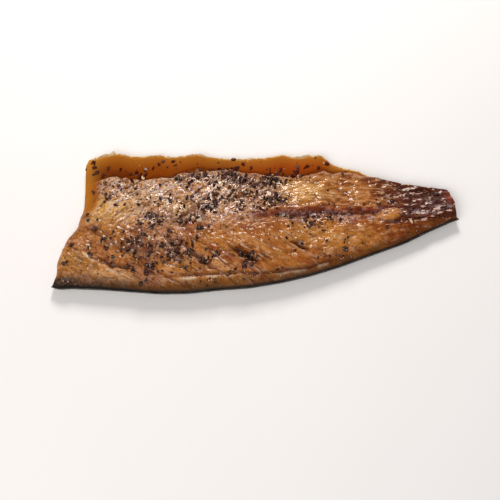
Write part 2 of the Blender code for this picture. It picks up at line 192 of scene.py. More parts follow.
# Soft unevenness: (wavelengths in mm along X and along Y, phase, mm high).
SWELLS = ((46, 31, 0.7, 0.25), (23, 17, 2.1, 0.14), (13, 11, 4.4, 0.08))

# Fine relief of the flesh: (mm along, mm across, mm high, seed). Strands lie along the flakes.
LUMPY_FLESH = ((6.5, 5, 0.16, 74), (4.0, 1.8, 0.20, 75), (2.8, 0.9, 0.18, 76))
STRANDS = ((7, 1.9, 0.20, 151), (2.8, 1.1, 0.20, 251), (1.5, 0.8, 0.11, 351))

# Level ridges of the dark flesh near the tail: their height, and (mm along, mm across, seed, angle).
TAIL_RIDGE = 0.7 * MM
TAIL_RIDGES = (9, 2.0, 78, -6)

# The grid of chance numbers behind every wave, and where the fish's middle lies on it.
CHANCE_GRID = 256
CHANCE_MIDDLE = 64

# Thin pale lines of fat on edges of flakes: (t, v, mm long, mm wide, angle, mm of bend).
FAT_LINES = (
    (0.089, -0.60, 9, 1.1, 38, 0.0), (0.150, -0.79, 13, 1.3, 22, 0.8),
    (0.343, -0.52, 20, 0.9, 34, 0.0), (0.287, -0.33, 14, 1.0, 50, 0.4),
    (0.415, -0.62, 16, 0.9, 35, 0.0), (0.455, -0.40, 13, 0.8, 30, 0.0),
    (0.540, -0.52, 10, 0.8, 33, 0.0), (0.620, -0.50, 12, 1.0, -18, 0.0),
    (0.18, 0.02, 20, 1.4, -35, 0.0), (0.13, 0.10, 14, 1.2, -38, 0.0),
)

# Soft patches of each colour: (t, v, mm of reach along and across, strength).
PATCHES = {
    # The frost patches are pale frosted fat, with painted sheen and glints in them.
    "frost": (
        (0.135, 0.47, 9, 3.5, 0.9), (0.155, 0.28, 7, 5, 0.6), (0.26, 0.46, 18, 5, 0.9),
        (0.23, 0.02, 11, 6, 0.8), (0.37, 0.30, 14, 6, 0.8), (0.40, 0.02, 15, 6, 0.7),
        (0.47, 0.18, 10, 6, 0.7), (0.27, -0.25, 12, 6, 0.35), (0.72, -0.14, 5, 2.5, 0.9),
        (0.56, 0.40, 14, 5, 0.4), (0.90, -0.12, 9, 1.6, 0.6), (0.822, 0.02, 5, 2, 1.0),
        (0.93, 0.42, 12, 3, 0.15), (0.97, -0.06, 8, 1.2, 0.4), (0.42, 0.62, 18, 5, 0.5),
        (0.665, -0.075, 12, 1.3, 0.8),
    ),
    "wine": (
        (0.86, -0.14, 4, 2, 0.9), (0.30, -0.02, 9, 2.5, 0.5), (0.28, 0.28, 12, 1.6, 0.6),
        # The wine patch at t 0.845, v -0.34 is a painted shadow under the knob.
        (0.13, -0.22, 14, 2.5, 0.5), (0.20, -0.50, 16, 8, 0.55), (0.845, -0.34, 5, 1.1, 0.9),
        (0.062, -0.46, 6, 1.6, 0.8), (0.12, -0.70, 14, 3, 0.45),
    ),
    "gold": (
        (0.135, 0.13, 14, 8, 1.1), (0.33, 0.15, 5.5, 2.6, 0.9), (0.60, 0.36, 16, 7, 0.95),
        (0.62, -0.45, 22, 8, 0.35), (0.12, -0.80, 14, 3.5, 0.25), (0.05, -0.62, 9, 4, 0.6),
    ),
    # Cream streaks, with painted glints along them.
    "streaked": (
        (0.055, -0.60, 7, 3.5, 0.9), (0.11, -0.74, 10, 2.5, 0.6), (0.18, -0.84, 8, 2, 0.6),
        (0.15, 0.12, 13, 8, 1.0), (0.30, 0.30, 12, 5, 0.6), (0.22, 0.38, 10, 5, 0.8),
        (0.66, 0.25, 14, 6, 0.8), (0.62, -0.35, 16, 4, 0.4),
    ),
    "rust": (
        (0.61, 0.86, 15, 5, 0.9), (0.50, 0.80, 16, 4, 0.5), (0.655, 0.02, 20, 2.0, 0.3),
        (0.34, -0.09, 5, 2, 0.7), (0.988, 0.50, 3.2, 4, 0.9),
    ),
}

# Where the pepper lies thick: (t, v, mm of reach along and across, strength).
PEPPER_CLUMPS = (
    (0.47, 0.60, 13, 6, 1.0), (0.53, 0.55, 9, 6, 0.9), (0.40, 0.70, 11, 4, 0.8),
    (0.34, 0.60, 9, 4, 0.6), (0.54, 0.27, 8, 5, 1.0), (0.455, 0.28, 8, 6, 0.5),
    (0.365, 0.12, 7, 6, 0.8), (0.33, -0.04, 7, 5, 0.6), (0.24, -0.05, 6, 5, 0.8),
    (0.20, 0.32, 20, 10, 0.14), (0.12, 0.30, 5, 3, 0.4), (0.21, 0.64, 3.5, 1.8, 0.9),
    (0.081, 0.889, 3, 1.8, 0.6), (0.116, 0.757, 3, 1.8, 0.6), (0.235, -0.46, 8, 8, 0.5),
    (0.30, -0.50, 6, 6, 0.8), (0.20, -0.37, 5, 4, 0.7), (0.36, -0.58, 6, 3, 0.5),
    (0.478, -0.67, 5, 4, 0.5), (0.60, -0.06, 15, 3, 0.6), (0.62, -0.20, 8, 4, 0.4),
    (0.13, -0.38, 12, 6, 0.35), (0.23, -0.80, 7, 3, 0.3), (0.22, 0.74, 30, 4, 0.25),
    (0.62, 0.68, 15, 3, 0.35), (0.69, -0.77, 9, 3, 0.3),
)
PEPPER_BASE = 0.035

# Cracked peppercorns. The coarse ones lie where they are fused to the solid.
GRAIN_SEED = 11
GRAIN_COUNT = 180
GRAIN_TRIES = 40000
LARGEST_GRAIN = 2.5 * MM
SMALLEST_GRAIN = 1.5 * MM
GRAIN_GAP = 0.2 * MM
GRAIN_SINK = 0.14
GRAIN_RIM = 3.0 * MM
GRAIN_FULLNESS = 1.3

# The shapes of grains: how far their corners stand in or out, where a broken face lies, how they are
# squashed. Few grains are large, and on the smooth lining they are larger and redder.
GRAIN_SHAPES = 6
GRAIN_DENTS = (-0.32, 0.20)
GRAIN_BREAKS = (0.10, 0.28)
GRAIN_SQUASH = ((0.6, 0.55, 0.45), (1.6, 1.2, 0.9))
PEPPER_RARITY = 1.6
LINING_GROWTH = 0.4
LINING_REDNESS = 0.5
PALE_SEED = 7

# What a scatter of pepper is given. Density is in grains a square metre.
PEPPER_INPUTS = ("Geometry", "Shapes", "Pepper", "Smallest", "Largest", "Density", "Closest", "Pale Share",
                 "Darkest", "Lightest", "Seed")
COARSE_PEPPER = {"Pale Share": 0.04, "Darkest": 0.0, "Lightest": 0.4, "Seed": GRAIN_SEED}
SCATTERED_PEPPER = {
    "pepper_medium": {
        "Smallest": 0.8 * MM, "Largest": 2.2 * MM, "Density": 700000.0, "Closest": 0.85 * MM,
        "Pale Share": 0.06, "Darkest": 0.0, "Lightest": 0.5, "Seed": 21,
    },
    "pepper_fine": {
        "Smallest": 0.35 * MM, "Largest": 0.85 * MM, "Density": 1500000.0, "Closest": 0.45 * MM,
        "Pale Share": 0.24, "Darkest": 0.2, "Lightest": 1.0, "Seed": 22,
    },
}

# Wisps of belly lining: (start and end as shares of LENGTH, mm of reach, mm of lift, seed).
WISPS = (
    (0.095, 0.180, 3.6, 1.4, 101), (0.225, 0.30, 2.4, 1.0, 102), (0.325, 0.375, 2.0, 0.8, 103),
    (0.445, 0.50, 2.2, 0.8, 104), (0.59, 0.672, 2.6, 1.0, 105),
)
WISP_CELLS = (40, 5)
WISP_ROOT = 0.985
WISP_THICKNESS = 0.08 * MM
WISP_SINK = 0.25 * MM
WISP_RIPPLE = 0.2 * MM

# The flesh's grid, the rows down its cut faces, and the skin's grid. The cut faces are a little uneven.
FLESH_CELLS = (540, 156)
WALL_ROWS = 4
SKIN_CELLS = (220, 60)
SKIN_WALL_ROWS = 6
FLESH_INSET_ENDS = 0.0018
FLESH_INSET_BACK = 0.009
CUT_ROUGHNESS = 0.5 * MM
CUT_LEAN = 0.6 * MM

# The camera looks down on the flesh side from the back edge's side.
CAMERA_ELEVATION = 72
CAMERA_DISTANCE = 0.60
CAMERA_AIM = (-3.9 * MM, -17.1 * MM, 7 * MM)
SEEN_WIDTH = 270.6 * MM
SENSOR_WIDTH = 36

# A low window beyond the belly edge, and the room's soft light: (name, place, watts, size).
LAMPS = (("window", (-0.02, 0.62, 0.50), 4.4, 0.24), ("room", (-0.45, -0.65, 0.75), 8.0, 0.9))
LAMP_COLOUR = (1.0, 0.93, 0.86)
ROOM_STRENGTH = 0.27
BOARD_SIZE = 3
BOARD_DROP = 0.02 * MM

# Noises in the flesh: (name, what they are laid along, scale, detail, roughness).
FLESH_NOISES = (
    ("swept", "swept", 1.0, 3, 0.65), ("level", "level", 1.0, 3, 0.65), ("tail", "tail", 1.0, 2, 0.6),
    ("blotch", "place", 110, 3, 0.6), ("speck", "place", 900, 2, 0.7),
    ("lace", "place", 560, 4, 0.75), ("pits", "place", 1500, 2, 0.5),
)

# Patterns in the flesh: (name, what it is read from, where it starts and is full, strength then).
FLESH_PATTERNS = (
    ("blotch", "blotch", 0.35, 0.65, 1.0), ("fibre", "strand", -0.35, 0.55, 0.6),
    ("valley", "strand", -0.10, -0.55, 0.5), ("dark stroke", "stroke", 0.46, 0.34, 0.45),
    # Glint and shine are painted highlights, and the tail's shade is painted shade between them.
    ("light stroke", "stroke", 0.54, 0.66, 0.5), ("glint", "stroke", 0.57, 0.63, 1.0),
    ("shine", "tail", 0.59, 0.62, 1.0), ("shade", "tail", 0.50, 0.40, 0.8),
    ("fleck", "speck", 0.54, 0.62, 0.8), ("dot", "speck", 0.555, 0.61, 0.95),
    ("dust", "speck", 0.42, 0.62, 1.0), ("lace", "lace", 0.49, 0.60, 0.95),
)

# The flesh's colours from the bottom up: (mask, pattern in it, colour).
FLESH_LAYERS = (
    ("loin", None, "#A44C10"), ("flake", None, "#CE8838"), ("stringy", "fibre", "#D08C4A"),
    ("stringy", "valley", "#541E06"), ("rib", None, "#ECB472"), ("red", None, "#8A360A"),
    ("tail", None, "#4C1402"), ("stringy", "light stroke", "#E2A870"),
    ("stringy", "dark stroke", "#4C1A08"), ("loin", "light stroke", "#DC9840"),
    ("gold", None, "#E4A850"), ("tail", "shade", "#200600"), ("tail", "shine", "#F6DACC"),
    ("pit", None, "#582008"), ("crest", None, "#E6B484"), ("knob", None, "#DA9242"),
    ("under", None, "#4C1206"), ("streaked", "glint", "#F0D2A8"), ("wine", None, "#4E1E12"),
    ("blood", None, "#501A18"), ("foot", None, "#541A06"), ("gap", None, "#6A2810"),
    ("core", None, "#42130A"), ("pale", None, "#F2D0AC"), ("frost", "lace", "#ECDCE2"),
    ("speckled", "dot", "#5A1C0C"), ("specks", "dot", "#421404"), ("dust", "dust", "#584854"),
    ("amber", None, "#823C06"), ("deep", None, "#642806"), ("rust", None, "#923404"),
    ("thin", None, "#CE8C34"), ("edge", None, "#EAD8AC"), ("fold", None, "#4E1E08"),
    ("lip", None, "#E2B494"), ("rim", None, "#4E3018"), ("film", None, "#453120"),
    ("film", "lace", "#86705A"), ("film", "fleck", "#14100E"), ("black", None, "#161210"),
)

# The numbered inputs and output of a colour Mix node.
SHARE, UNDER, OVER, MIXED = 0, 6, 7, 2


def blurred(at, pairs, reach):
    """The polyline through the pairs, rounded off over the reach on either side."""
    stations = np.array(pairs)
    steps = np.linspace(-reach, reach, BLUR_STEPS)
    return sum(np.interp(at + step, stations[:, 0], stations[:, 1]) for step in steps) / len(steps)


def smooth(value, low, high):
    """0 below low, 1 above high, and an even rise between them."""
    share = np.clip((value - low) / (high - low), 0.0, 1.0)
    return share * share * (3 - 2 * share)


def span(value, start, full, fading, end):
    """0 up to the start, 1 from full to fading, and 0 again from the end."""
    return smooth(value, start, full) * (1 - smooth(value, fading, end))


def rolled(distance, reach):
    """A quarter round: 0 at the rim and 1 from the reach inwards."""
    share = np.clip(distance / reach, 0.0, 1.0)
    return np.sqrt(1 - (1 - share) ** 2)


def bell(distance, reach):
    """1 where the distance is 0, fading out over the reach."""
    return np.exp(-((distance / reach) ** 2))


def ends(v):
    """The shares of LENGTH at which the head cut and the tail cut lie."""
    return blurred(v, HEAD_CUT, CUT_BLUR), blurred(v, TAIL_CUT, CUT_BLUR)


def survey(s, v):
    """Where a place is, and how far it lies from each rim and from the middle line."""
    head, tail = ends(v)
    t = head + (tail - head) * s
    back = WIDTH * blurred(t, BACK_EDGE, OUTLINE_BLUR)
    belly = WIDTH * blurred(t, BELLY_EDGE, OUTLINE_BLUR)
    y = back + (belly - back) * (v + 1) / 2
    middle = back + (belly - back) * (blurred(t, MIDDLE_LINE, THICKNESS_BLUR) + 1) / 2
    return SimpleNamespace(
        t=t, v=v, x=(t - 0.5) * LENGTH, y=y, spine=y - middle, to_back=y - back, to_belly=belly - y,
        to_head=(t - head) * LENGTH, to_tail=(tail - t) * LENGTH,
    )


def spot(t, v):
    """x and y of a feature that is placed by its share of the length."""
    head, tail = ends(v)
    place = survey((t - head) / (tail - head), v)
    return place.x, place.y


def waves(x, y, along, across, seed, angle=0):
    """Smooth chance waves from -1 to 1, the given mm long and wide, turned by the angle."""
    turn = math.radians(-angle)
    u = (x * math.cos(turn) + y * math.sin(turn)) / (along * MM) + CHANCE_MIDDLE
    w = (y * math.cos(turn) - x * math.sin(turn)) / (across * MM) + CHANCE_MIDDLE
    heights = np.random.RandomState(seed).uniform(-1, 1, (CHANCE_GRID + 1, CHANCE_GRID + 1))
    i, j = np.floor(u).astype(int), np.floor(w).astype(int)
    p, q = u - i, w - j
    p, q = p * p * (3 - 2 * p), q * q * (3 - 2 * q)
    i, j = i % CHANCE_GRID, j % CHANCE_GRID
    near = heights[i, j] * (1 - p) + heights[i + 1, j] * p
    far = heights[i, j + 1] * (1 - p) + heights[i + 1, j + 1] * p
    return near * (1 - q) + far * q


def wavy(place, along, across, seed, angle=0):
    """Chance waves at a place, from its x and y."""
    return waves(place.x, place.y, along, across, seed, angle)


def streak(place, t, v, length, angle=0, bend=0.0):
    """How far a place is along a long spot, as a share of half its mm, and across it in metres."""
    turn = math.radians(-angle)
    centre = spot(t, v)
    x, y = place.x - centre[0], place.y - centre[1]
    along = np.clip(2 * (x * math.cos(turn) + y * math.sin(turn)) / (length * MM), -1.0, 1.0)
    across = y * math.cos(turn) - x * math.sin(turn) - bend * MM * along ** 2
    return along, across


def clouds(place, rows, total=0):
    """Soft round spots added up, from their (t, v, mm of reach along and across, strength)."""
    for t, v, reach_x, reach_y, strength in rows:
        x, y = spot(t, v)
        away = ((place.x - x) / (reach_x * MM)) ** 2 + ((place.y - y) / (reach_y * MM)) ** 2
        total += strength * np.exp(-away)
    return total


def pepper_density(place):
    """How thick the pepper lies, from PEPPER_BASE up to about 1."""
    return clouds(place, PEPPER_CLUMPS, PEPPER_BASE)


def knob_share(place):
    """1 on top of the knob near the tail, 0 at its foot."""
    along, across = streak(place, *KNOB)
    across += KNOB_WANDER * wavy(place, 4, 3, 79)
    return np.clip(1 - along ** 2 - (2 * across / KNOB_WIDTH) ** 2, 0, 1)


def flap(place):
    """A place's share of the belly flap, how far up its slope it is and from its crest, and its end."""
    half = FLAP_FALL / 2
    width = blurred(place.t, FLAP_WIDTHS, THICKNESS_BLUR / 4)
    ragged = FLAP_RAGGED * (0.6 * wavy(place, 7, 4, 31) + 0.4 * wavy(place, 2.5, 2, 32))
    there = 1 - smooth(place.t, FLAP_END - FLAP_FADE, FLAP_END + FLAP_FADE)
    inside = place.to_belly + half - (width + half + ragged) * there
    on_flap = 1 - smooth(inside, -half * 0.6, half * 0.6)
    return on_flap, np.clip(place.to_belly / width, 0.0, 1.0), inside, there


def flesh_zones(place):
    """Shares from 0 to 1 of each kind of flesh at a place, and how far it is off the groove."""
    on_flap, slope, crest, there = flap(place)
    wobble = 0.05 * wavy(place, 9, 6, 41)
    t, v = place.t + wobble * 0.4, place.v + wobble
    margin = (1 - smooth(place.to_head, 5 * MM, 10 * MM)) * smooth(v, 0.0, 0.25)
    membrane = np.maximum(on_flap, margin)
    inner = there * smooth(place.to_head, 3 * MM, 13 * MM)
    loin = 1 - smooth(v, -0.2, 0.02)
    back_grain = loin * (1 - smooth(t, 0.55, 0.70))
    belly_grain = (1 - loin) * (1 - smooth(t, 0.48, 0.60))
    off = place.spine + SPINE_WANDER * wavy(place, 8, 8, 72)
    # The shelf below the groove is given painted sheen.
    shelf = span(t, 0.50, 0.60, 0.77, 0.82) * bell(off + 2.4 * MM, 1.3 * MM)
    return SimpleNamespace(
        on_flap=on_flap, slope=slope, membrane=membrane, loin=loin, back_grain=back_grain,
        belly_grain=belly_grain, long_grain=np.clip(1 - back_grain - belly_grain, 0, 1),
        lip=inner * bell(crest - 0.7 * MM, 0.8 * MM), fold=inner * bell(crest + 1.3 * MM, 0.9 * MM),
        off_groove=off, shelf=shelf * smooth(wavy(place, 7, 3, 93), -0.5, 0.1),
        # The groove's mask lays a painted shadow under the ridge, over the groove's own dark red flesh.
        groove=span(t, 0.50, 0.64, 0.79, 0.83) * bell(off - 0.6 * MM, SPINE_GROOVE_WIDTH * 0.42),
        rib_bed=span(t, 0.07, 0.11, 0.40, 0.56) * smooth(v, -0.16, 0.05) * (1 - membrane),
        tail=smooth(t, 0.79, 0.87),
    )


def strands(place, zones, along, across, seed):
    """Short strands of muscle from -1 to 1, lying along the flakes in each half."""
    bent = 8 * wavy(place, 14, 11, seed + 7) * MM
    x, y = place.x + 0.2 * bent, place.y + 0.2 * bent
    total = 0
    for share, angle in ((zones.back_grain, 34), (zones.belly_grain, -34), (zones.long_grain, -9)):
        total += share * waves(x, y, along, across, seed + angle, angle)
    return total


def flakes(place):
    """The height of the shingled flakes, and marks of each step: top, shade at its foot, tone, way across."""
    sweep = np.where(place.spine < 0, -place.spine * FLAKE_SWEEP_BACK, place.spine * FLAKE_SWEEP_BELLY)
    wander = FLAKE_WANDER * wavy(place, 17, 13, 61)
    wander += 0.3 * FLAKE_WANDER * wavy(place, 5, 4, 62)
    turns = (place.x - sweep + wander) / FLAKE_PITCH
    phase = turns % 1.0
    height = np.minimum(phase / (1 - FLAKE_EDGE), (1 - phase) / FLAKE_EDGE) - 0.5
    # The steps are low behind the ribs, at the head end of the back and along the middle line.
    uneven = 0.6 + 0.5 * wavy(place, 11, 9, 63)
    uneven *= 1 - 0.7 * smooth(place.t, 0.5, 0.6) * smooth(place.spine, 0, 6 * MM)
    uneven *= 1 - 0.8 * (1 - smooth(place.t, 0.20, 0.30)) * smooth(-place.spine, 0, 6 * MM)
    uneven *= 1 - 0.9 * bell(place.spine + 3 * MM, 7 * MM)
    seen = np.clip(uneven, 0, 1)
    from_edge = ((phase + 0.5) % 1.0 - 0.5) * FLAKE_PITCH
    top = bell(from_edge + 0.9 * MM, 0.45 * MM) * seen
    # Painted shade at the foot of each step.
    foot = bell(from_edge - 0.1 * MM, 0.75 * MM) * seen
    # Each flake on each side of the middle line has its own chance tone.
    tone = np.abs(np.sin(np.floor(turns) * 12.9 + np.sign(place.spine) * 3.7) * 43.7) % 1.0
    marks = SimpleNamespace(top=top, foot=foot, tone=tone * (1 - np.maximum(top, foot)),
                            across=turns * FLAKE_PITCH)
    return FLAKE_STEP * height * uneven, marks


def relief(place, zones):
    """How far the flesh stands above its smooth form, with the marks that its colours need."""
    height, marks = flakes(place)
    marks.gap, marks.core, marks.brink = (np.zeros_like(place.x) for _ in range(3))
    for t, v, length, width, depth, angle, bend in FLAKE_GAPS:
        width, depth = width * MM, depth * MM
        along, across = streak(place, t, v, length, angle, bend)
        across += MM * wavy(place, 3, 2, 71)
        taper = np.clip(1 - along ** 2, 0, 1)
        half = width / 2 * np.sqrt(taper) + 0.01 * MM
        off = np.where(across > 0, across, -across / GAP_SLOPE)
        hollow = taper ** 0.5 * (1 - smooth(off / half, 0.2, 1.05))
        lip = taper * bell(across + half * 1.25, width * 0.28)
        height -= depth * GAP_FULLNESS * hollow
        height += GAP_LIP * lip * depth / (2 * MM)
        # The hollow's marks lay painted shade in it, deepest at its core, over its darker wet flesh.
        marks.gap = np.maximum(marks.gap, hollow * depth / (2.5 * MM))
        marks.core = np.maximum(marks.core, smooth(hollow, 0.8, 1.0) * depth / (2.4 * MM))
        # A painted highlight along the gap's lit lower lip.
        marks.brink = np.maximum(marks.brink, taper * bell(across + half * 1.15, 0.5 * MM))
    for t, v, length, width, rise in LUMPS:
        along, across = streak(place, t, v, length)
        height += rise * MM * (1 - along ** 2) * bell(across, width * MM / 2)
    height += KNOB_HEIGHT * np.sqrt(knob_share(place))
    height += TAIL_RIDGE * zones.tail * wavy(place, *TAIL_RIDGES)

    low, high = SPINE_GROOVE_SPAN
    spine = span(place.t, low, low + 0.12, high - 0.08, high)
    height -= SPINE_GROOVE_DEPTH * spine * bell(zones.off_groove, SPINE_GROOVE_WIDTH * 0.8)
    ridge = bell(zones.off_groove - SPINE_RIDGE_OFFSET, SPINE_GROOVE_WIDTH)
    height += SPINE_RIDGE_HEIGHT * spine * ridge

    low, high = BACK_CREASE_SPAN
    crease = span(place.t, low, low + 0.08, high - 0.1, high)
    inset = place.to_back - BACK_CREASE_INSET * (1 - BACK_CREASE_NARROWING * smooth(place.t, low, high))
    inset += BACK_CREASE_WANDER * wavy(place, 9, 9, 73)
    marks.crease = crease * bell(inset, BACK_CREASE_WIDTH * 0.55)
    lip = crease * bell(inset + 1.4 * MM, 0.9 * MM)
    marks.crease_lip = lip * smooth(wavy(place, 6, 20, 94), -0.1, 0.35)
    height -= BACK_CREASE_FULLNESS * BACK_CREASE_DEPTH * marks.crease
    height += BACK_CREASE_LIP * marks.crease_lip

    for wave_x, wave_y, phase, rise in SWELLS:
        along = np.sin(2 * math.pi * place.x / (wave_x * MM) + phase)
        height += rise * MM * along * np.cos(2 * math.pi * place.y / (wave_y * MM) + 2 * phase)
    rough = 0.85 + 0.5 * smooth(wavy(place, 12, 9, 92), -0.4, 0.5)
    rough *= (1 - 0.9 * zones.membrane) * (1 - 0.4 * zones.tail)
    for along, across, rise, seed in LUMPY_FLESH:
        steep = rough * (1 - 0.2 * zones.back_grain) * (rise * MM)
        height += steep * wavy(place, along, across, seed)
    for along, across, rise, seed in STRANDS:
        steep = rough * (1 + 0.3 * zones.back_grain) * (rise * MM)
        height += steep * strands(place, zones, along, across, seed)
    return height, marks


def under_height(place):
    """Height of the skin's outer face: flat where the fish's round side is pressed on the plate."""
    rise = SKIN_EDGE_HEIGHT * (1 - smooth(place.to_back, -SKIN_CURVE, SKIN_CURVE)) * 2
    for lift, distance in ((SKIN_BELLY_RISE, place.to_belly), (SKIN_HEAD_RISE, place.to_head),
                           (SKIN_TAIL_RISE, place.to_tail)):
        rise += lift * (1 - rolled(distance, SKIN_CURVE))
    return np.maximum(rise - SKIN_SAG, 0)


def top_height(place, zones):
    """Height of the flesh side, with the marks that its colours need."""
    bumps, marks = relief(place, zones)
    along = blurred(place.t, THICKNESS_ALONG, THICKNESS_BLUR)
    across = blurred(place.v, THICKNESS_ACROSS, THICKNESS_BLUR)
    body = THICKNESS * along * across + bumps + FLAP_LIP * zones.lip
    head_rim = blurred(place.v, HEAD_RIMS, THICKNESS_BLUR)
    head_roll = rolled(place.to_head, blurred(place.v, HEAD_ROLLS, THICKNESS_BLUR))
    head = head_rim + (1 - head_rim) * head_roll
    tail = TAIL_RIM + (1 - TAIL_RIM) * rolled(place.to_tail, TAIL_ROLL)
    body *= head * tail
    edge_height = SKIN_EDGE_HEIGHT + SKIN_EDGE_WALL
    body = edge_height + (body - edge_height) * rolled(place.to_back, BACK_ROLL)
    rising = (FLAP_ROOT - FLAP_EDGE) * zones.slope * head
    thin = under_height(place) + FLAP_EDGE + rising + FLAP_RELIEF * bumps
    thin += FLAP_SWELL * wavy(place, 15, 8, 77) - FLAP_FOLD * zones.fold
    return body + (thin - body) * zones.on_flap, marks


def linear(hex_colour):
    """Linear RGBA of an sRGB hex colour."""
    parts = [int(hex_colour[at:at + 2], 16) / 255 for at in (1, 3, 5)]
    return [part / 12.92 if part <= 0.04045 else ((part + 0.055) / 1.055) ** 2.4 for part in parts] + [1.0]


def add(tree, kind, inputs=None, **settings):
    """Adds a node with its settings. An input, by name or number, is set, or linked to a socket or node."""
    made = tree.nodes.new(kind)
    for name, value in settings.items():
        setattr(made, name, value)
    for name, value in (inputs or {}).items():
        if isinstance(value, bpy.types.Node):
            value = value.outputs[0]
        if isinstance(value, bpy.types.NodeSocket):
            tree.links.new(value, made.inputs[name])
        else:
            made.inputs[name].default_value = value
    return made


def new_material(name):
    """A material with an empty tree, and the object's own coordinates in it."""
    material = bpy.data.materials.new(name)
    material.use_nodes = True
    tree = material.node_tree
    tree.nodes.clear()
    return material, tree, add(tree, "ShaderNodeTexCoord").outputs["Object"]


def painted(tree, tone, layers):
    """Lays colours over the tone, each by its share."""
    for share, colour in layers:
        tone = add(tree, "ShaderNodeMix", {SHARE: share, UNDER: tone, OVER: linear(colour)},
                   data_type="RGBA").outputs[MIXED]
    return tone


def finished(material, inputs):
    """The material with its shader, whose inputs are numbers or links."""
    shader = add(material.node_tree, "ShaderNodeBsdfPrincipled", inputs)
    add(material.node_tree, "ShaderNodeOutputMaterial", {"Surface": shader})
    return material


def smoked_flesh():
    """Hot-smoked mackerel flesh: amber to red-brown, wet with oil, with paler strands and fat lines."""
    material, tree, place = new_material("hot_smoked_mackerel_flesh")
    names = dict.fromkeys(["open", "wet", "long", "strand"] + [layer[0] for layer in FLESH_LAYERS])
    mask = {name: add(tree, "ShaderNodeAttribute", attribute_name=name).outputs["Fac"] for name in names}

    # Strokes that lie along the flakes, and along the fish near the tail, about 1 mm wide.
    flake_way = add(tree, "ShaderNodeUVMap", uv_map="flakes").outputs["UV"]
    swept = add(tree, "ShaderNodeMapping", {"Vector": flake_way, "Scale": (850, 230, 1)})
    level = add(tree, "ShaderNodeMapping", {"Vector": place, "Scale": (250, 800, 800)})
    lying = {"Vector": place, "Rotation": (0, 0, 0.22), "Scale": (4.6 * MM, 2.1 * MM, 2.1 * MM)}
    lying = add(tree, "ShaderNodeMapping", lying, vector_type="TEXTURE")
    ways = {"swept": swept, "level": level, "tail": lying, "place": place}
    noises = {}
    for name, way, scale, detail, roughness in FLESH_NOISES:
        noises[name] = add(tree, "ShaderNodeTexNoise", {"Vector": ways[way], "Scale": scale, "Detail": detail,
                                                        "Roughness": roughness})
    stroke = add(tree, "ShaderNodeMix", {0: mask["long"], 2: noises["swept"], 3: noises["level"]})
    sources = {**noises, "strand": mask["strand"], "stroke": stroke}
    pattern = {}
    for name, source, low, high, most in FLESH_PATTERNS:
        pattern[name] = add(tree, "ShaderNodeMapRange", {"Value": sources[source], "From Min": low,
                                                         "From Max": high, "To Max": most})
    layers = [(pattern["blotch"], "#BE6E14")]
    for where, how, colour in FLESH_LAYERS:
        share = mask[where]
        if how:
            share = add(tree, "ShaderNodeMath", {0: share, 1: pattern[how]}, operation="MULTIPLY")
        layers.append((share, colour))

    matt = add(tree, "ShaderNodeMapRange", {"Value": mask["wet"], "To Min": 0.3, "To Max": 0.0})
    rough = add(tree, "ShaderNodeMapRange", {"Value": noises["speck"], "From Min": 0.3, "From Max": 0.7,
                                             "To Min": 0.42, "To Max": 0.62})
    rough = add(tree, "ShaderNodeMath", {0: rough, 1: matt})
    wet = add(tree, "ShaderNodeMapRange", {"Value": mask["wet"], "To Max": 0.55})
    # Strokes and pits stand out in the wet open flesh, and hardly at all under the dry smooth lining.
    # The strokes are also the bump's height, so the dark and light strokes are painted shade in its hollows
    # and painted highlight on its ridges, besides the streaks of the fibres.
    height = add(tree, "ShaderNodeMath", {0: stroke, 1: noises["pits"]})
    strength = add(tree, "ShaderNodeMapRange", {"Value": mask["open"], "To Min": 0.08, "To Max": 0.8})
    bump = add(tree, "ShaderNodeBump", {"Height": height, "Strength": strength, "Distance": 1.1 * MM})
    return finished(material, {
        "Base Color": painted(tree, linear("#883F0A"), layers), "Roughness": rough, "Coat Weight": wet,
        "Normal": bump, "IOR": 1.4, "Specular IOR Level": 0.05, "Coat Roughness": 0.085,
        "Subsurface Weight": 0.08, "Subsurface Radius": (4 * MM, 1.5 * MM, 0.6 * MM), "Subsurface Scale": 1.0,
    })


def belly_lining():
    """Dried belly lining: a pale yellow film that lets light through."""
    material, tree, place = new_material("belly_lining")
    shade = add(tree, "ShaderNodeTexNoise", {"Vector": place, "Scale": 600, "Detail": 2})
    tone = painted(tree, linear("#C08A3C"), [(shade, "#E8D2A0")])
    return finished(material, {"Base Color": tone, "Roughness": 0.3, "Alpha": 0.55})


def mackerel_skin():
    """Smoked mackerel skin: blue-black with wavy bars on the back, silvery gold on the belly."""
    material, tree, place = new_material("smoked_mackerel_skin")
    back = add(tree, "ShaderNodeAttribute", attribute_name="back").outputs["Fac"]
    around = add(tree, "ShaderNodeUVMap", uv_map="skin").outputs["UV"]
    # Bars about 6 mm apart that waver as they cross the back.
    bars = add(tree, "ShaderNodeTexWave", {"Vector": around, "Scale": 11, "Distortion": 6, "Detail": 2,
                                           "Detail Scale": 1.5}, bands_direction="X").outputs["Fac"]
    barred, on_back, rim = (
        add(tree, "ShaderNodeMapRange", {"Value": value, "From Min": low, "From Max": high, "To Max": most})
        for value, low, high, most in ((bars, 0.45, 0.6, 1.0), (back, 0.35, 0.6, 1.0), (back, 0.9, 1.0, 0.8)))
    shown = add(tree, "ShaderNodeMath", {0: barred, 1: on_back}, operation="MULTIPLY")
    mottle = add(tree, "ShaderNodeTexNoise", {"Vector": place, "Scale": 160, "Detail": 4, "Roughness": 0.65})
    tone = painted(tree, linear("#8A6A3A"), (
        (mottle, "#C9B48A"), (on_back, "#4E4A38"), (shown, "#15171A"), (rim, "#1D1815"),
    ))
    scales = add(tree, "ShaderNodeTexVoronoi", {"Vector": place, "Scale": 900})
    bump = add(tree, "ShaderNodeBump", {"Height": scales, "Strength": 0.5, "Distance": 0.4 * MM})
    return finished(material, {
        "Base Color": tone, "Normal": bump, "Metallic": 0.08, "Roughness": 0.5, "Specular IOR Level": 0.25,
        "Coat Weight": 0.15, "Coat Roughness": 0.15,
    })


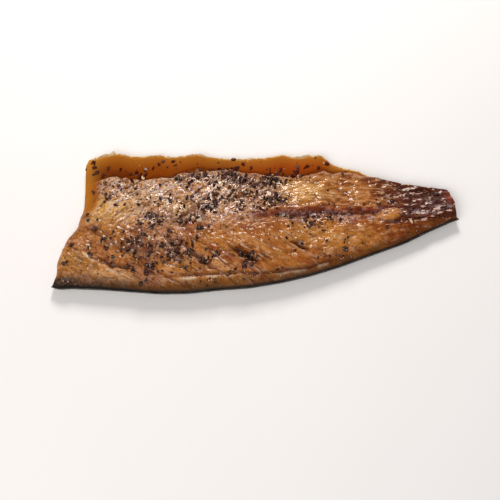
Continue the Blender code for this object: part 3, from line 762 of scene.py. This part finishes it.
def cracked_pepper():
    """Cracked black pepper: wrinkled dark rind outside, cream and tan on the broken faces."""
    material, tree, place = new_material("cracked_black_pepper")
    faces, crumb, tone = (add(tree, "ShaderNodeAttribute", attribute_name=name).outputs["Fac"]
                          for name in ("broken", "crumb", "tone"))
    rind = painted(tree, linear("#090403"), [(tone, "#561C0E")])
    heart = painted(tree, linear("#24120C"), [(tone, "#94583A")])
    # Painted glints: small pale dots, fewer on the lighter grains.
    glint_dots = add(tree, "ShaderNodeTexNoise", {"Vector": place, "Scale": 2300, "Detail": 1, "Roughness": 0.5})
    glint_dots = add(tree, "ShaderNodeMapRange", {"Value": glint_dots, "From Min": 0.61, "From Max": 0.65,
                                            "To Max": 0.85})
    dull = add(tree, "ShaderNodeMath", {0: 1.0, 1: tone}, operation="SUBTRACT")
    glint_dots = add(tree, "ShaderNodeMath", {0: glint_dots, 1: dull}, operation="MULTIPLY")
    rind = painted(tree, rind, [(glint_dots, "#C8B8AE")])
    grain = add(tree, "ShaderNodeMix", {SHARE: faces, UNDER: rind, OVER: heart}, data_type="RGBA")
    grain = painted(tree, grain.outputs[MIXED], [(crumb, "#DCC09C")])
    wrinkle = add(tree, "ShaderNodeTexNoise", {"Vector": place, "Scale": 2200, "Detail": 3, "Roughness": 0.7})
    bump = add(tree, "ShaderNodeBump", {"Height": wrinkle, "Strength": 0.4, "Distance": 0.4 * MM})
    return finished(material, {
        "Base Color": grain, "Normal": bump, "Roughness": 0.6, "Specular IOR Level": 0.05,
        "Coat Weight": 0.2, "Coat Roughness": 0.1,
    })


def pale_board():
    """Plain pale board under the fish."""
    material, tree, place = new_material("pale_board")
    mottle = add(tree, "ShaderNodeTexNoise", {"Vector": place, "Scale": 6, "Detail": 2})
    tone = painted(tree, linear("#F6F6F8"), [(mottle, "#FCFCFD")])
    return finished(material, {"Base Color": tone, "Roughness": 0.6})


def flesh_masks(place, zones, marks):
    """The shares that the flesh's colours are mixed by, and the pepper's density."""
    patch = wavy(place, 8, 6, 81)
    speckle = wavy(place, 1.3, 1.0, 82, 30)
    fine = 0.5 * strands(place, zones, 5, 1.3, 151) + 0.5 * strands(place, zones, 2.6, 1.1, 251)
    broad = strands(place, zones, 10, 2.6, 451)
    fine += zones.back_grain * (0.7 * broad - 0.5 * fine)
    # lumpy repeats the two finest lumps of the relief, so that shade can be painted in their hollows and
    # highlight on their tops.
    lumpy = 0.6 * wavy(place, 2.8, 0.9, 76) + 0.4 * wavy(place, 4.0, 1.8, 75)
    open_flesh = 1 - zones.membrane
    whole = open_flesh * (1 - marks.gap)
    # The back half is smoother near the tail and along its rim.
    calm = zones.loin * np.maximum(smooth(place.t, 0.42, 0.55), 0.8 * bell(place.to_back, 9 * MM))
    patches = {kind: clouds(place, rows) for kind, rows in PATCHES.items()}
    golden = np.clip(patches["gold"], 0, 1)
    knob = knob_share(place)
    # A painted shadow along the knob's lower foot.
    along, across = streak(place, *KNOB)
    under = bell(across + 0.56 * KNOB_WIDTH, 0.9 * MM) * np.clip(1 - along ** 2, 0, 1)
    ridge = bell(place.spine - 0.5 * SPINE_RIDGE_OFFSET, 1.3 * MM) * smooth(place.t, 0.44, 0.55)
    red = ridge + 0.3 * bell(place.spine, 6 * MM) * smooth(place.t, 0.3, 0.6)
    red += 0.35 * smooth(place.t, 0.70, 0.80) * smooth(place.v, 0.2, 0.5) + 0.35 * smooth(patch, 0.1, 0.8)
    # Near the tail only the belly half and the middle line are dark.
    orange = smooth(-place.spine, 5 * MM, 8 * MM)
    tail = np.maximum(zones.tail, 0.8 * smooth(place.t, 0.74, 0.86) * smooth(place.v, 0.3, 0.6))
    fat = 0
    for t, v, length, width, angle, bend in FAT_LINES:
        along, across = streak(place, t, v, length, angle, bend)
        across += 0.5 * MM * wavy(place, 3, 2, 85)
        crisp = 1 - smooth(np.abs(across), 0.25 * (width * MM), 0.55 * (width * MM))
        fat = np.maximum(fat, (1 - along ** 2) ** 0.5 * crisp * smooth(speckle, -0.6, 0.0))
    # The flakes' edges fade towards the tail.
    fading = 1 - 0.8 * smooth(place.t, 0.60, 0.70)
    # Pale fat and flesh, with painted highlights on the lit lower lips of the gaps and on the lip below the
    # back crease.
    pale = 0.75 * marks.top * fading * smooth(wavy(place, 6, 3, 83), 0.0, 0.4)
    pale += 0.8 * marks.brink * smooth(speckle, -0.5, 0.1)
    pale += 0.85 * zones.rib_bed * smooth(speckle + 0.5 * fine, 0.10, 0.5) * smooth(patch, -0.4, 0.3)
    pale += 0.95 * fat + 1.3 * marks.crease_lip ** 2 * smooth(wavy(place, 6, 7, 84), -0.1, 0.3)
    pale += 0.2 * smooth(fine, 0.4, 0.8) * (1 - 0.8 * zones.back_grain)
    # Dark film of skin smeared over the head corner of the back edge.
    ragged = 1 + 0.5 * wavy(place, 5, 2, 87) + 0.4 * speckle
    film = bell(place.to_head, 30 * MM) * bell(place.to_back, 4.6 * MM * ragged)
    smear = bell(place.to_head, 34 * MM) * bell(place.to_back, 8 * MM * ragged)
    rim = 0.7 * (1 - smooth(place.to_back, 1.0 * MM, 7.0 * MM)) + 0.45 * smear
    pepper = pepper_density(place)
    clumped = pepper * (0.2 + 2.0 * smooth(wavy(place, 4.5, 3.5, 88), -0.05, 0.5))
    # Pale frosted fat, and painted sheen on the wet flesh, on the crease's lip and on the shelf below the
    # groove.
    frost = patches["frost"] * (1 - 0.5 * knob) + 0.15 * marks.crease_lip ** 2 + 0.95 * zones.shelf
    spotted = 0.6 * zones.rib_bed * (1 - 0.5 * golden) + patches["frost"] + 0.5 * patches["wine"]
    pit_shading = open_flesh * (1 - 0.6 * zones.back_grain) * (1 - 0.6 * calm) * (1 - 0.5 * golden)
    stringy = open_flesh * (1 - 0.5 * calm) * (1 - 0.8 * zones.tail) * (1 - 0.4 * golden)
    # Lighter towards the thin belly edge and along the head margin: painted light showing through the lining.
    thin = 0.4 * bell(place.to_belly, 1.2 * MM) + 0.35 * bell(place.to_belly, 6 * MM)
    wet = (1 - 0.75 * np.clip(rim, 0, 1)) * (1 - 0.7 * zones.groove) * (1 - 0.2 * zones.loin)
    masks = {
        "open": open_flesh,
        "wet": open_flesh * wet,
        "long": zones.long_grain,
        "strand": fine,
        "stringy": stringy * (1 - 0.6 * ridge),
        "specks": 0.8 * (1 - 0.6 * calm) * zones.loin * whole * smooth(patch + speckle, -0.6, 0.5),
        "loin": 0.55 * zones.loin,
        "rib": 0.75 * zones.rib_bed * (0.6 + 0.4 * patch) * (1 - 0.3 * golden),
        "red": red * (1 - knob ** 0.4) * open_flesh,
        "tail": 0.9 * tail * (1 - 0.75 * orange) * (1 - knob ** 0.4),
        "frost": frost * whole,
        "speckled": spotted * open_flesh * (1 - zones.tail),
        "gold": 0.9 * golden * open_flesh,
        "knob": 0.75 * knob ** 0.5,
        # Painted shadow under the knob.
        "under": 0.8 * under,
        "rust": patches["rust"],
        "streaked": patches["streaked"] * open_flesh,
        # Painted shade in the hollows of the fine lumps, and painted highlight on their tops.
        "pit": 0.55 * smooth(-lumpy, 0.05, 0.5) * pit_shading,
        "crest": 0.4 * smooth(lumpy, 0.15, 0.5) * open_flesh * (1 - zones.tail),
        "wine": patches["wine"] * smooth(speckle + patch, -0.5, 0.6) * open_flesh,
        # Painted shade inside the gaps, darkest at their cores, over their darker wet flesh.
        "gap": np.minimum(marks.gap, 0.8) * (0.8 + 0.3 * speckle),
        "core": 0.75 * np.minimum(marks.core, 1.0),
        "pale": np.minimum(pale, 0.85) * (1 - 0.9 * marks.gap) * open_flesh,
        "flake": 0.75 * marks.tone * open_flesh * (1 - zones.tail),
        # Painted shade at the foot of each flake's step and along the back crease.
        "foot": np.maximum(marks.foot * fading * (0.85 + 0.35 * patch), 0.75 * marks.crease) * open_flesh,
        # A painted shadow under the ridge along the groove, over its dark red flesh.
        "blood": 0.85 * zones.groove,
        "amber": zones.membrane,
        "deep": zones.on_flap * smooth(wavy(place, 19, 7, 86) - 0.5 * zones.slope, -0.6, 0.7),
        "thin": zones.membrane * (thin + 0.5 * bell(place.to_head, 7 * MM)),
        # A painted shadow along the fold below the flap's crest, and a painted highlight along its lip.
        "fold": 0.35 * zones.fold,
        "edge": zones.membrane * bell(place.to_belly, 0.6 * MM) * smooth(speckle + patch, -0.6, 0.4),
        "lip": 0.45 * zones.lip * smooth(speckle + 0.5 * patch, -0.2, 0.6),
        "rim": rim * (1 - 0.3 * patch),
        "film": film,
        "black": 0.3 * film + 0.9 * (1 - smooth(place.to_back, 0.4 * MM, 1.4 * MM)),
        "dust": pepper * whole,
        "pepper_medium": clumped * (1 - 0.3 * zones.membrane),
        "pepper_fine": (clumped + 0.03 * zones.loin + 0.01) * (1 - 0.8 * zones.membrane) * (1 - 0.5 * golden),
    }
    return {name: np.clip(values, -1, 1) for name, values in masks.items()}


def new_mesh(bm, name):
    """The mesh that the bmesh makes, which is let go."""
    mesh = bpy.data.meshes.new(name)
    bm.to_mesh(mesh)
    bm.free()
    return mesh


def grid(cells, size=1.0):
    """A new bmesh with a flat grid from -size to size both ways."""
    bm = bmesh.new()
    bmesh.ops.create_grid(bm, x_segments=cells[0], y_segments=cells[1], size=size)
    return bm


def grid_places(mesh):
    """The x and y of each vertex of a grid that spans -1 to 1."""
    flat = np.zeros(len(mesh.vertices) * 3, dtype=np.float32)
    mesh.vertices.foreach_get("co", flat)
    flat = flat.reshape(-1, 3).astype(float)
    return flat[:, 0], flat[:, 1]


def move_to(mesh, x, y, z):
    """Moves each vertex to its place."""
    mesh.vertices.foreach_set("co", np.stack((x, y, z), axis=1).astype(np.float32).ravel())


def store(mesh, name, values):
    """Keeps one number for each vertex under a name that the materials read."""
    kept = mesh.attributes.new(name, "FLOAT", "POINT").data
    kept.foreach_set("value", np.asarray(values, dtype=np.float32))


def store_uv(mesh, name, u, v):
    """Keeps a way round the surface, from one pair of numbers for each vertex."""
    corners = np.array([loop.vertex_index for loop in mesh.loops])
    pairs = np.stack((u, v), axis=1)[corners].astype(np.float32)
    mesh.uv_layers.new(name=name).data.foreach_set("uv", pairs.ravel())


def new_piece(name, mesh, material):
    """A piece of the fillet: an object at the origin with its own material."""
    piece = bpy.data.objects.new(name, mesh)
    bpy.context.scene.collection.objects.link(piece)
    mesh.materials.clear()
    mesh.materials.append(material)
    return piece


def dress(piece):
    """The piece rides on the fillet's body and stands for its solid, which is hidden."""
    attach(piece, "root")
    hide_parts("fillet")


def settle(piece, smoothed=True):
    """Makes what the modifiers give a plain mesh, shaded smooth or flat, and dresses the piece."""
    piece.update_tag()
    graph = bpy.context.evaluated_depsgraph_get()
    mesh = bpy.data.meshes.new_from_object(piece.evaluated_get(graph))
    piece.modifiers.clear()
    piece.data = mesh
    mesh.name = piece.name
    if smoothed:
        mesh.shade_smooth()
    else:
        mesh.shade_flat()
    dress(piece)


def thicken(piece, thickness, offset=-1.0):
    """Gives a sheet its thickness, to the side that the offset says."""
    wall = piece.modifiers.new("wall", "SOLIDIFY")
    wall.thickness = thickness
    wall.offset = offset


def flesh_sheet():
    """The flesh side as a flat grid with rows of cells round it for its cut faces."""
    bm = grid(FLESH_CELLS)
    row_of = bm.verts.layers.int.new("row")
    rim = [edge for edge in bm.edges if edge.is_boundary]
    for row in range(1, WALL_ROWS + 1):
        made = bmesh.ops.extrude_edge_only(bm, edges=rim)["geom"]
        for vert in made:
            if isinstance(vert, bmesh.types.BMVert):
                vert[row_of] = row
        rim = [edge for edge in made if isinstance(edge, bmesh.types.BMEdge) and edge.is_boundary
               and all(vert[row_of] == row for vert in edge.verts)]
    rows = np.array([vert[row_of] for vert in bm.verts])
    bm.verts.layers.int.remove(row_of)
    return new_mesh(bm, "fillet_flesh"), rows


def close_mesh(mesh):
    """Closes the sheet underneath, where the skin hides it, with every face outwards and smooth."""
    bm = bmesh.new()
    bm.from_mesh(mesh)
    bmesh.ops.remove_doubles(bm, verts=bm.verts, dist=0.002 * MM)
    rim = [edge for edge in bm.edges if edge.is_boundary]
    bmesh.ops.triangle_fill(bm, edges=rim, use_beauty=True, normal=(0, 0, -1))
    bmesh.ops.recalc_face_normals(bm, faces=bm.faces)
    bm.to_mesh(mesh)
    bm.free()
    mesh.shade_smooth()


def flesh_piece(material):
    """The flesh, with its relief in the mesh and its masks stored for the colours."""
    mesh, rows = flesh_sheet()
    across_s, across_v = grid_places(mesh)
    s = FLESH_INSET_ENDS + (1 - 2 * FLESH_INSET_ENDS) * (across_s + 1) / 2
    place = survey(s, np.maximum(across_v, -1 + FLESH_INSET_BACK))
    zones = flesh_zones(place)
    top, marks = top_height(place, zones)
    drop = rows / WALL_ROWS
    low = under_height(place) + SKIN_THICKNESS * 0.6
    z = top * (1 - drop) + low * drop
    # The cut faces lean inwards.
    torn = CUT_ROUGHNESS * waves(place.x + place.y, z * 3, 2, 2, 91) * np.sin(math.pi * drop)
    inward = np.where(across_s < 0, 1, -1) * (np.abs(across_s) > 0.999)
    x = place.x + inward * (torn + CUT_LEAN * np.sin(math.pi * drop * 0.5))
    move_to(mesh, x, place.y, z)
    store_uv(mesh, "flakes", marks.across + top - z, place.spine + top - z)
    for name, values in flesh_masks(place, zones, marks).items():
        if name.startswith("pepper"):
            values *= (rows == 0) * smooth(np.minimum(place.to_back, place.to_tail), MM, 3 * MM)
        if name == "edge":
            values *= rows < 2
        store(mesh, name, values)
    close_mesh(mesh)
    piece = new_piece("fillet_flesh", mesh, material)
    dress(piece)
    return piece


def skin_piece(material):
    """The skin: the underside and the wall of the back edge, as thick as the real skin."""
    rows_across = SKIN_CELLS[1] + SKIN_WALL_ROWS
    mesh = new_mesh(grid((SKIN_CELLS[0], rows_across)), "fillet_skin")
    s, step = ((share + 1) / 2 for share in grid_places(mesh))
    step = step * rows_across - SKIN_WALL_ROWS
    v = np.maximum(step, 0) / SKIN_CELLS[1] * 2 - 1
    up = np.clip(-step / SKIN_WALL_ROWS, 0, 1)
    place = survey(s, v)
    low = under_height(place)
    crumple = waves(place.x, up * SKIN_EDGE_WALL, 5, 1.5, 95) * up
    top = SKIN_EDGE_HEIGHT + SKIN_EDGE_WALL + SKIN_LIP + SKIN_CRUMPLE * crumple
    # The skin stands out a little past the corners of the back edge.
    corner = (smooth(s, 1 - SKIN_TIP_SPAN, 1) - 1 + smooth(s, 0, SKIN_TIP_SPAN)) * (1 - smooth(v, -1, -0.72))
    move_to(mesh, place.x + SKIN_TIP * corner, place.y - SKIN_CRUMPLE * np.maximum(crumple, 0),
            low + (top - low) * up)
    store(mesh, "back", np.clip((1 - v) / 2 * 0.9 + 0.1 * np.clip(up * 3, 0, 1), 0, 1))
    store_uv(mesh, "skin", s, v / 4)
    skin = new_piece("fillet_skin", mesh, material)
    thicken(skin, SKIN_THICKNESS, 1.0)
    settle(skin)


def wisp_piece(material):
    """Torn wisps of belly lining that stand off the flap's free edge."""
    bm = bmesh.new()
    head, tail = ends(1.0)
    for start, end, reach, lift, seed in WISPS:
        made = bmesh.ops.create_grid(bm, x_segments=WISP_CELLS[0], y_segments=WISP_CELLS[1], size=1.0)
        flat = np.array([vert.co for vert in made["verts"]])
        along, out = (flat[:, 0] + 1) / 2, (flat[:, 1] + 1) / 2
        t = start + (end - start) * along
        edge = survey((t - head) / (tail - head), np.full_like(t, WISP_ROOT))
        base = top_height(edge, flesh_zones(edge))[0]
        torn = 0.5 + 0.5 * waves(along * (end - start) * LENGTH, out * 0, 2.2, 1, seed)
        shape = np.sin(math.pi * along) ** 0.6 * torn
        y = edge.y + (out - 0.3) * (reach * MM) * shape
        z = base + (lift * MM) * out * shape - WISP_SINK * (1 - out) + WISP_RIPPLE * out * np.sin(along * 9)
        for vert, place in zip(made["verts"], np.stack((edge.x, y, z), axis=1)):
            vert.co = place
    wisps = new_piece("flap_wisps", new_mesh(bm, "flap_wisps"), material)
    thicken(wisps, WISP_THICKNESS)
    settle(wisps)


def grain_shapes():
    """Pieces of cracked peppercorn, one unit across: round rind with up to two broken faces."""
    shapes = bpy.data.collections.new("grain_shapes")
    draw = random.Random(GRAIN_SEED + 5)
    for number in range(GRAIN_SHAPES):
        bm = bmesh.new()
        bmesh.ops.create_icosphere(bm, subdivisions=1, radius=0.5)
        for vert in bm.verts:
            vert.co *= 1 + draw.uniform(*GRAIN_DENTS)
        cuts = []
        for _ in range(number % 3):
            way = Vector((draw.uniform(-1, 1), draw.uniform(-1, 1), draw.uniform(-1, 1))).normalized()
            through = way * draw.uniform(*GRAIN_BREAKS)
            geometry = bm.verts[:] + bm.edges[:] + bm.faces[:]
            cut = bmesh.ops.bisect_plane(bm, geom=geometry, plane_co=through, plane_no=way, clear_outer=True)
            loop = [item for item in cut["geom_cut"] if isinstance(item, bmesh.types.BMEdge)]
            cuts += bmesh.ops.contextual_create(bm, geom=loop)["faces"]
        bm.faces.index_update()
        broken = {face.index for face in cuts if face.is_valid}
        bmesh.ops.recalc_face_normals(bm, faces=bm.faces)
        sides = [[vert.co[axis] for vert in bm.verts] for axis in range(3)]
        middle = Vector([(min(side) + max(side)) / 2 for side in sides])
        across = sum(max(side) - min(side) for side in sides) / 3
        for vert in bm.verts:
            vert.co = (vert.co - middle) / across
        mesh = new_mesh(bm, f"grain_shape_{number}")
        marks = mesh.attributes.new("broken", "FLOAT", "FACE")
        marks.data.foreach_set("value", [1.0 if face.index in broken else 0.0 for face in mesh.polygons])
        shapes.objects.link(bpy.data.objects.new(mesh.name, mesh))
    return shapes


def coarse_ground():
    """A mesh of loose points, one for each large piece of pepper, by the solid's own rule and draws."""
    draw = random.Random(GRAIN_SEED)
    tries = [(draw.random(), draw.uniform(-1, 1), draw.random()) for _ in range(GRAIN_TRIES)]
    s, v, chance = (np.array(column) for column in zip(*tries))
    place = survey(s, v)
    rim = np.minimum.reduce((place.to_back, place.to_belly, place.to_head, place.to_tail))
    fits = (rim >= GRAIN_RIM) & (chance <= pepper_density(place))
    placed = []
    for at in np.flatnonzero(fits):
        share = len(placed) / (GRAIN_COUNT - 1)
        size = LARGEST_GRAIN + (SMALLEST_GRAIN - LARGEST_GRAIN) * share ** 0.6
        x, y = place.x[at], place.y[at]
        if all(math.hypot(x - near[0], y - near[1]) - (size + near[2]) / 2 >= GRAIN_GAP for near in placed):
            placed.append((x, y, size, s[at], v[at]))
        if len(placed) == GRAIN_COUNT:
            break
    # They are lifted so that most of each grain shows.
    sizes, s, v = (np.array(column) for column in list(zip(*placed))[2:])
    sizes = GRAIN_FULLNESS * sizes
    place = survey(s, v)
    zones = flesh_zones(place)
    z = top_height(place, zones)[0] + GRAIN_SINK * sizes
    mesh = bpy.data.meshes.new("coarse_pepper_places")
    mesh.from_pydata(list(zip(place.x, place.y, z)), [], [])
    store(mesh, "size", sizes)
    store(mesh, "amber", zones.membrane)
    return mesh


def pepper_tree(mask=None):
    """Geometry nodes that scatter grains by a mask, or lay them on the points they are given."""
    tree = bpy.data.node_groups.new(f"scatter_{mask}" if mask else "lay_pepper", "GeometryNodeTree")
    kinds = {"Geometry": "Geometry", "Shapes": "Collection", "Pepper": "Material", "Seed": "Int"}
    for name in PEPPER_INPUTS:
        kind = "NodeSocket" + kinds.get(name, "Float")
        tree.interface.new_socket(name, in_out="INPUT", socket_type=kind)
    tree.interface.new_socket("Geometry", in_out="OUTPUT", socket_type="NodeSocketGeometry")
    given = add(tree, "NodeGroupInput").outputs
    seed = given["Seed"]
    order = add(tree, "GeometryNodeInputIndex")
    lining = add(tree, "GeometryNodeInputNamedAttribute", {"Name": "amber"})
    if mask:
        share = add(tree, "GeometryNodeInputNamedAttribute", {"Name": mask})
        points = add(tree, "GeometryNodeDistributePointsOnFaces", {
            "Mesh": given["Geometry"], "Distance Min": given["Closest"], "Density Max": given["Density"],
            "Density Factor": share, "Seed": seed,
        }, distribute_method="POISSON")
        chance = add(tree, "FunctionNodeRandomValue", {"Seed": seed}).outputs[1]
        skewed = add(tree, "ShaderNodeMath", {0: chance, 1: PEPPER_RARITY}, operation="POWER")
        size = add(tree, "ShaderNodeMapRange", {"Value": skewed, "To Min": given["Smallest"],
                                                "To Max": given["Largest"]})
        grown = add(tree, "ShaderNodeMath", {0: lining, 1: LINING_GROWTH, 2: 1.0}, operation="MULTIPLY_ADD")
        size = add(tree, "ShaderNodeMath", {0: size, 1: grown}, operation="MULTIPLY")
    else:
        points = add(tree, "GeometryNodeMeshToPoints", {"Mesh": given["Geometry"]})
        size = add(tree, "GeometryNodeInputNamedAttribute", {"Name": "size"})
    source = add(tree, "GeometryNodeCollectionInfo", {
        "Collection": given["Shapes"], "Separate Children": True, "Reset Children": True,
    })
    tumble, squash = (
        add(tree, "FunctionNodeRandomValue", {0: least, 1: most, "Seed": seed}, data_type="FLOAT_VECTOR")
        for least, most in (((0, 0, 0), (2 * math.pi,) * 3), GRAIN_SQUASH))
    scale = add(tree, "ShaderNodeVectorMath", {0: squash, "Scale": size}, operation="SCALE")
    grains = add(tree, "GeometryNodeInstanceOnPoints", {
        "Points": points, "Instance": source, "Pick Instance": True, "Rotation": tumble, "Scale": scale,
    })
    tones = add(tree, "FunctionNodeRandomValue", {2: given["Darkest"], 3: given["Lightest"], "Seed": seed})
    redder = add(tree, "ShaderNodeMath", {0: lining, 1: LINING_REDNESS, 2: tones.outputs[1]},
                 operation="MULTIPLY_ADD")
    crumbs = add(tree, "FunctionNodeRandomValue", {6: given["Pale Share"], "ID": order, "Seed": PALE_SEED},
                 data_type="BOOLEAN").outputs[3]
    for name, value in (("tone", redder), ("crumb", crumbs)):
        marked = {"Geometry": grains, "Name": name, "Value": value}
        grains = add(tree, "GeometryNodeStoreNamedAttribute", marked, domain="INSTANCE")
    real = add(tree, "GeometryNodeRealizeInstances", {"Geometry": grains})
    done = add(tree, "GeometryNodeSetMaterial", {"Geometry": real, "Material": given["Pepper"]})
    add(tree, "NodeGroupOutput", {"Geometry": done})
    return tree


def pepper_piece(name, ground, tree, values):
    """One size of pepper as a plain mesh, from the tree's inputs by their names."""
    piece = new_piece(name, ground.copy(), values["Pepper"])
    grains = piece.modifiers.new("grains", "NODES")
    grains.node_group = tree
    for item in tree.interface.items_tree:
        if item.in_out == "INPUT" and item.name in values:
            grains[item.identifier] = values[item.name]
    settle(piece, smoothed=False)


def set_stage():
    """The pale board, the camera and the soft light."""
    mesh = new_mesh(grid((1, 1), BOARD_SIZE), "board")
    mesh.transform(Matrix.Translation((0, 0, -BOARD_DROP)))
    new_piece("board", mesh, pale_board())

    scene = bpy.context.scene
    rise = math.radians(CAMERA_ELEVATION)
    eye = bpy.data.cameras.new("eye")
    eye.sensor_width = SENSOR_WIDTH
    eye.lens = SENSOR_WIDTH * CAMERA_DISTANCE / SEEN_WIDTH
    camera = bpy.data.objects.new("eye", eye)
    scene.collection.objects.link(camera)
    camera.location = Vector(CAMERA_AIM) + CAMERA_DISTANCE * Vector((0, -math.cos(rise), math.sin(rise)))
    camera.rotation_euler = (math.pi / 2 - rise, 0, 0)
    scene.camera = camera

    for name, place, watts, size in LAMPS:
        lamp = bpy.data.lights.new(name, "AREA")
        lamp.energy = watts
        lamp.color = LAMP_COLOUR
        lamp.size = size
        light = bpy.data.objects.new(name, lamp)
        scene.collection.objects.link(light)
        light.location = place
        light.rotation_euler = (-Vector(place)).to_track_quat("-Z", "Y").to_euler()
    scene.world = bpy.data.worlds.new("soft_room")
    scene.world.use_nodes = True
    room = scene.world.node_tree.nodes["Background"]
    room.inputs["Color"].default_value = linear("#ECEEF4")
    room.inputs["Strength"].default_value = ROOM_STRENGTH
    scene.view_settings.view_transform = "Standard"


def main():
    flesh = flesh_piece(smoked_flesh())
    skin_piece(mackerel_skin())
    wisp_piece(belly_lining())
    shapes = grain_shapes()
    shared = {"Shapes": shapes, "Pepper": cracked_pepper()}
    pepper_piece("pepper_coarse", coarse_ground(), pepper_tree(), {**shared, **COARSE_PEPPER})
    for name, values in SCATTERED_PEPPER.items():
        pepper_piece(name, flesh.data, pepper_tree(name), {**shared, **values})
    for shape in list(shapes.objects):
        bpy.data.objects.remove(shape)
    bpy.data.collections.remove(shapes)
    set_stage()


main()
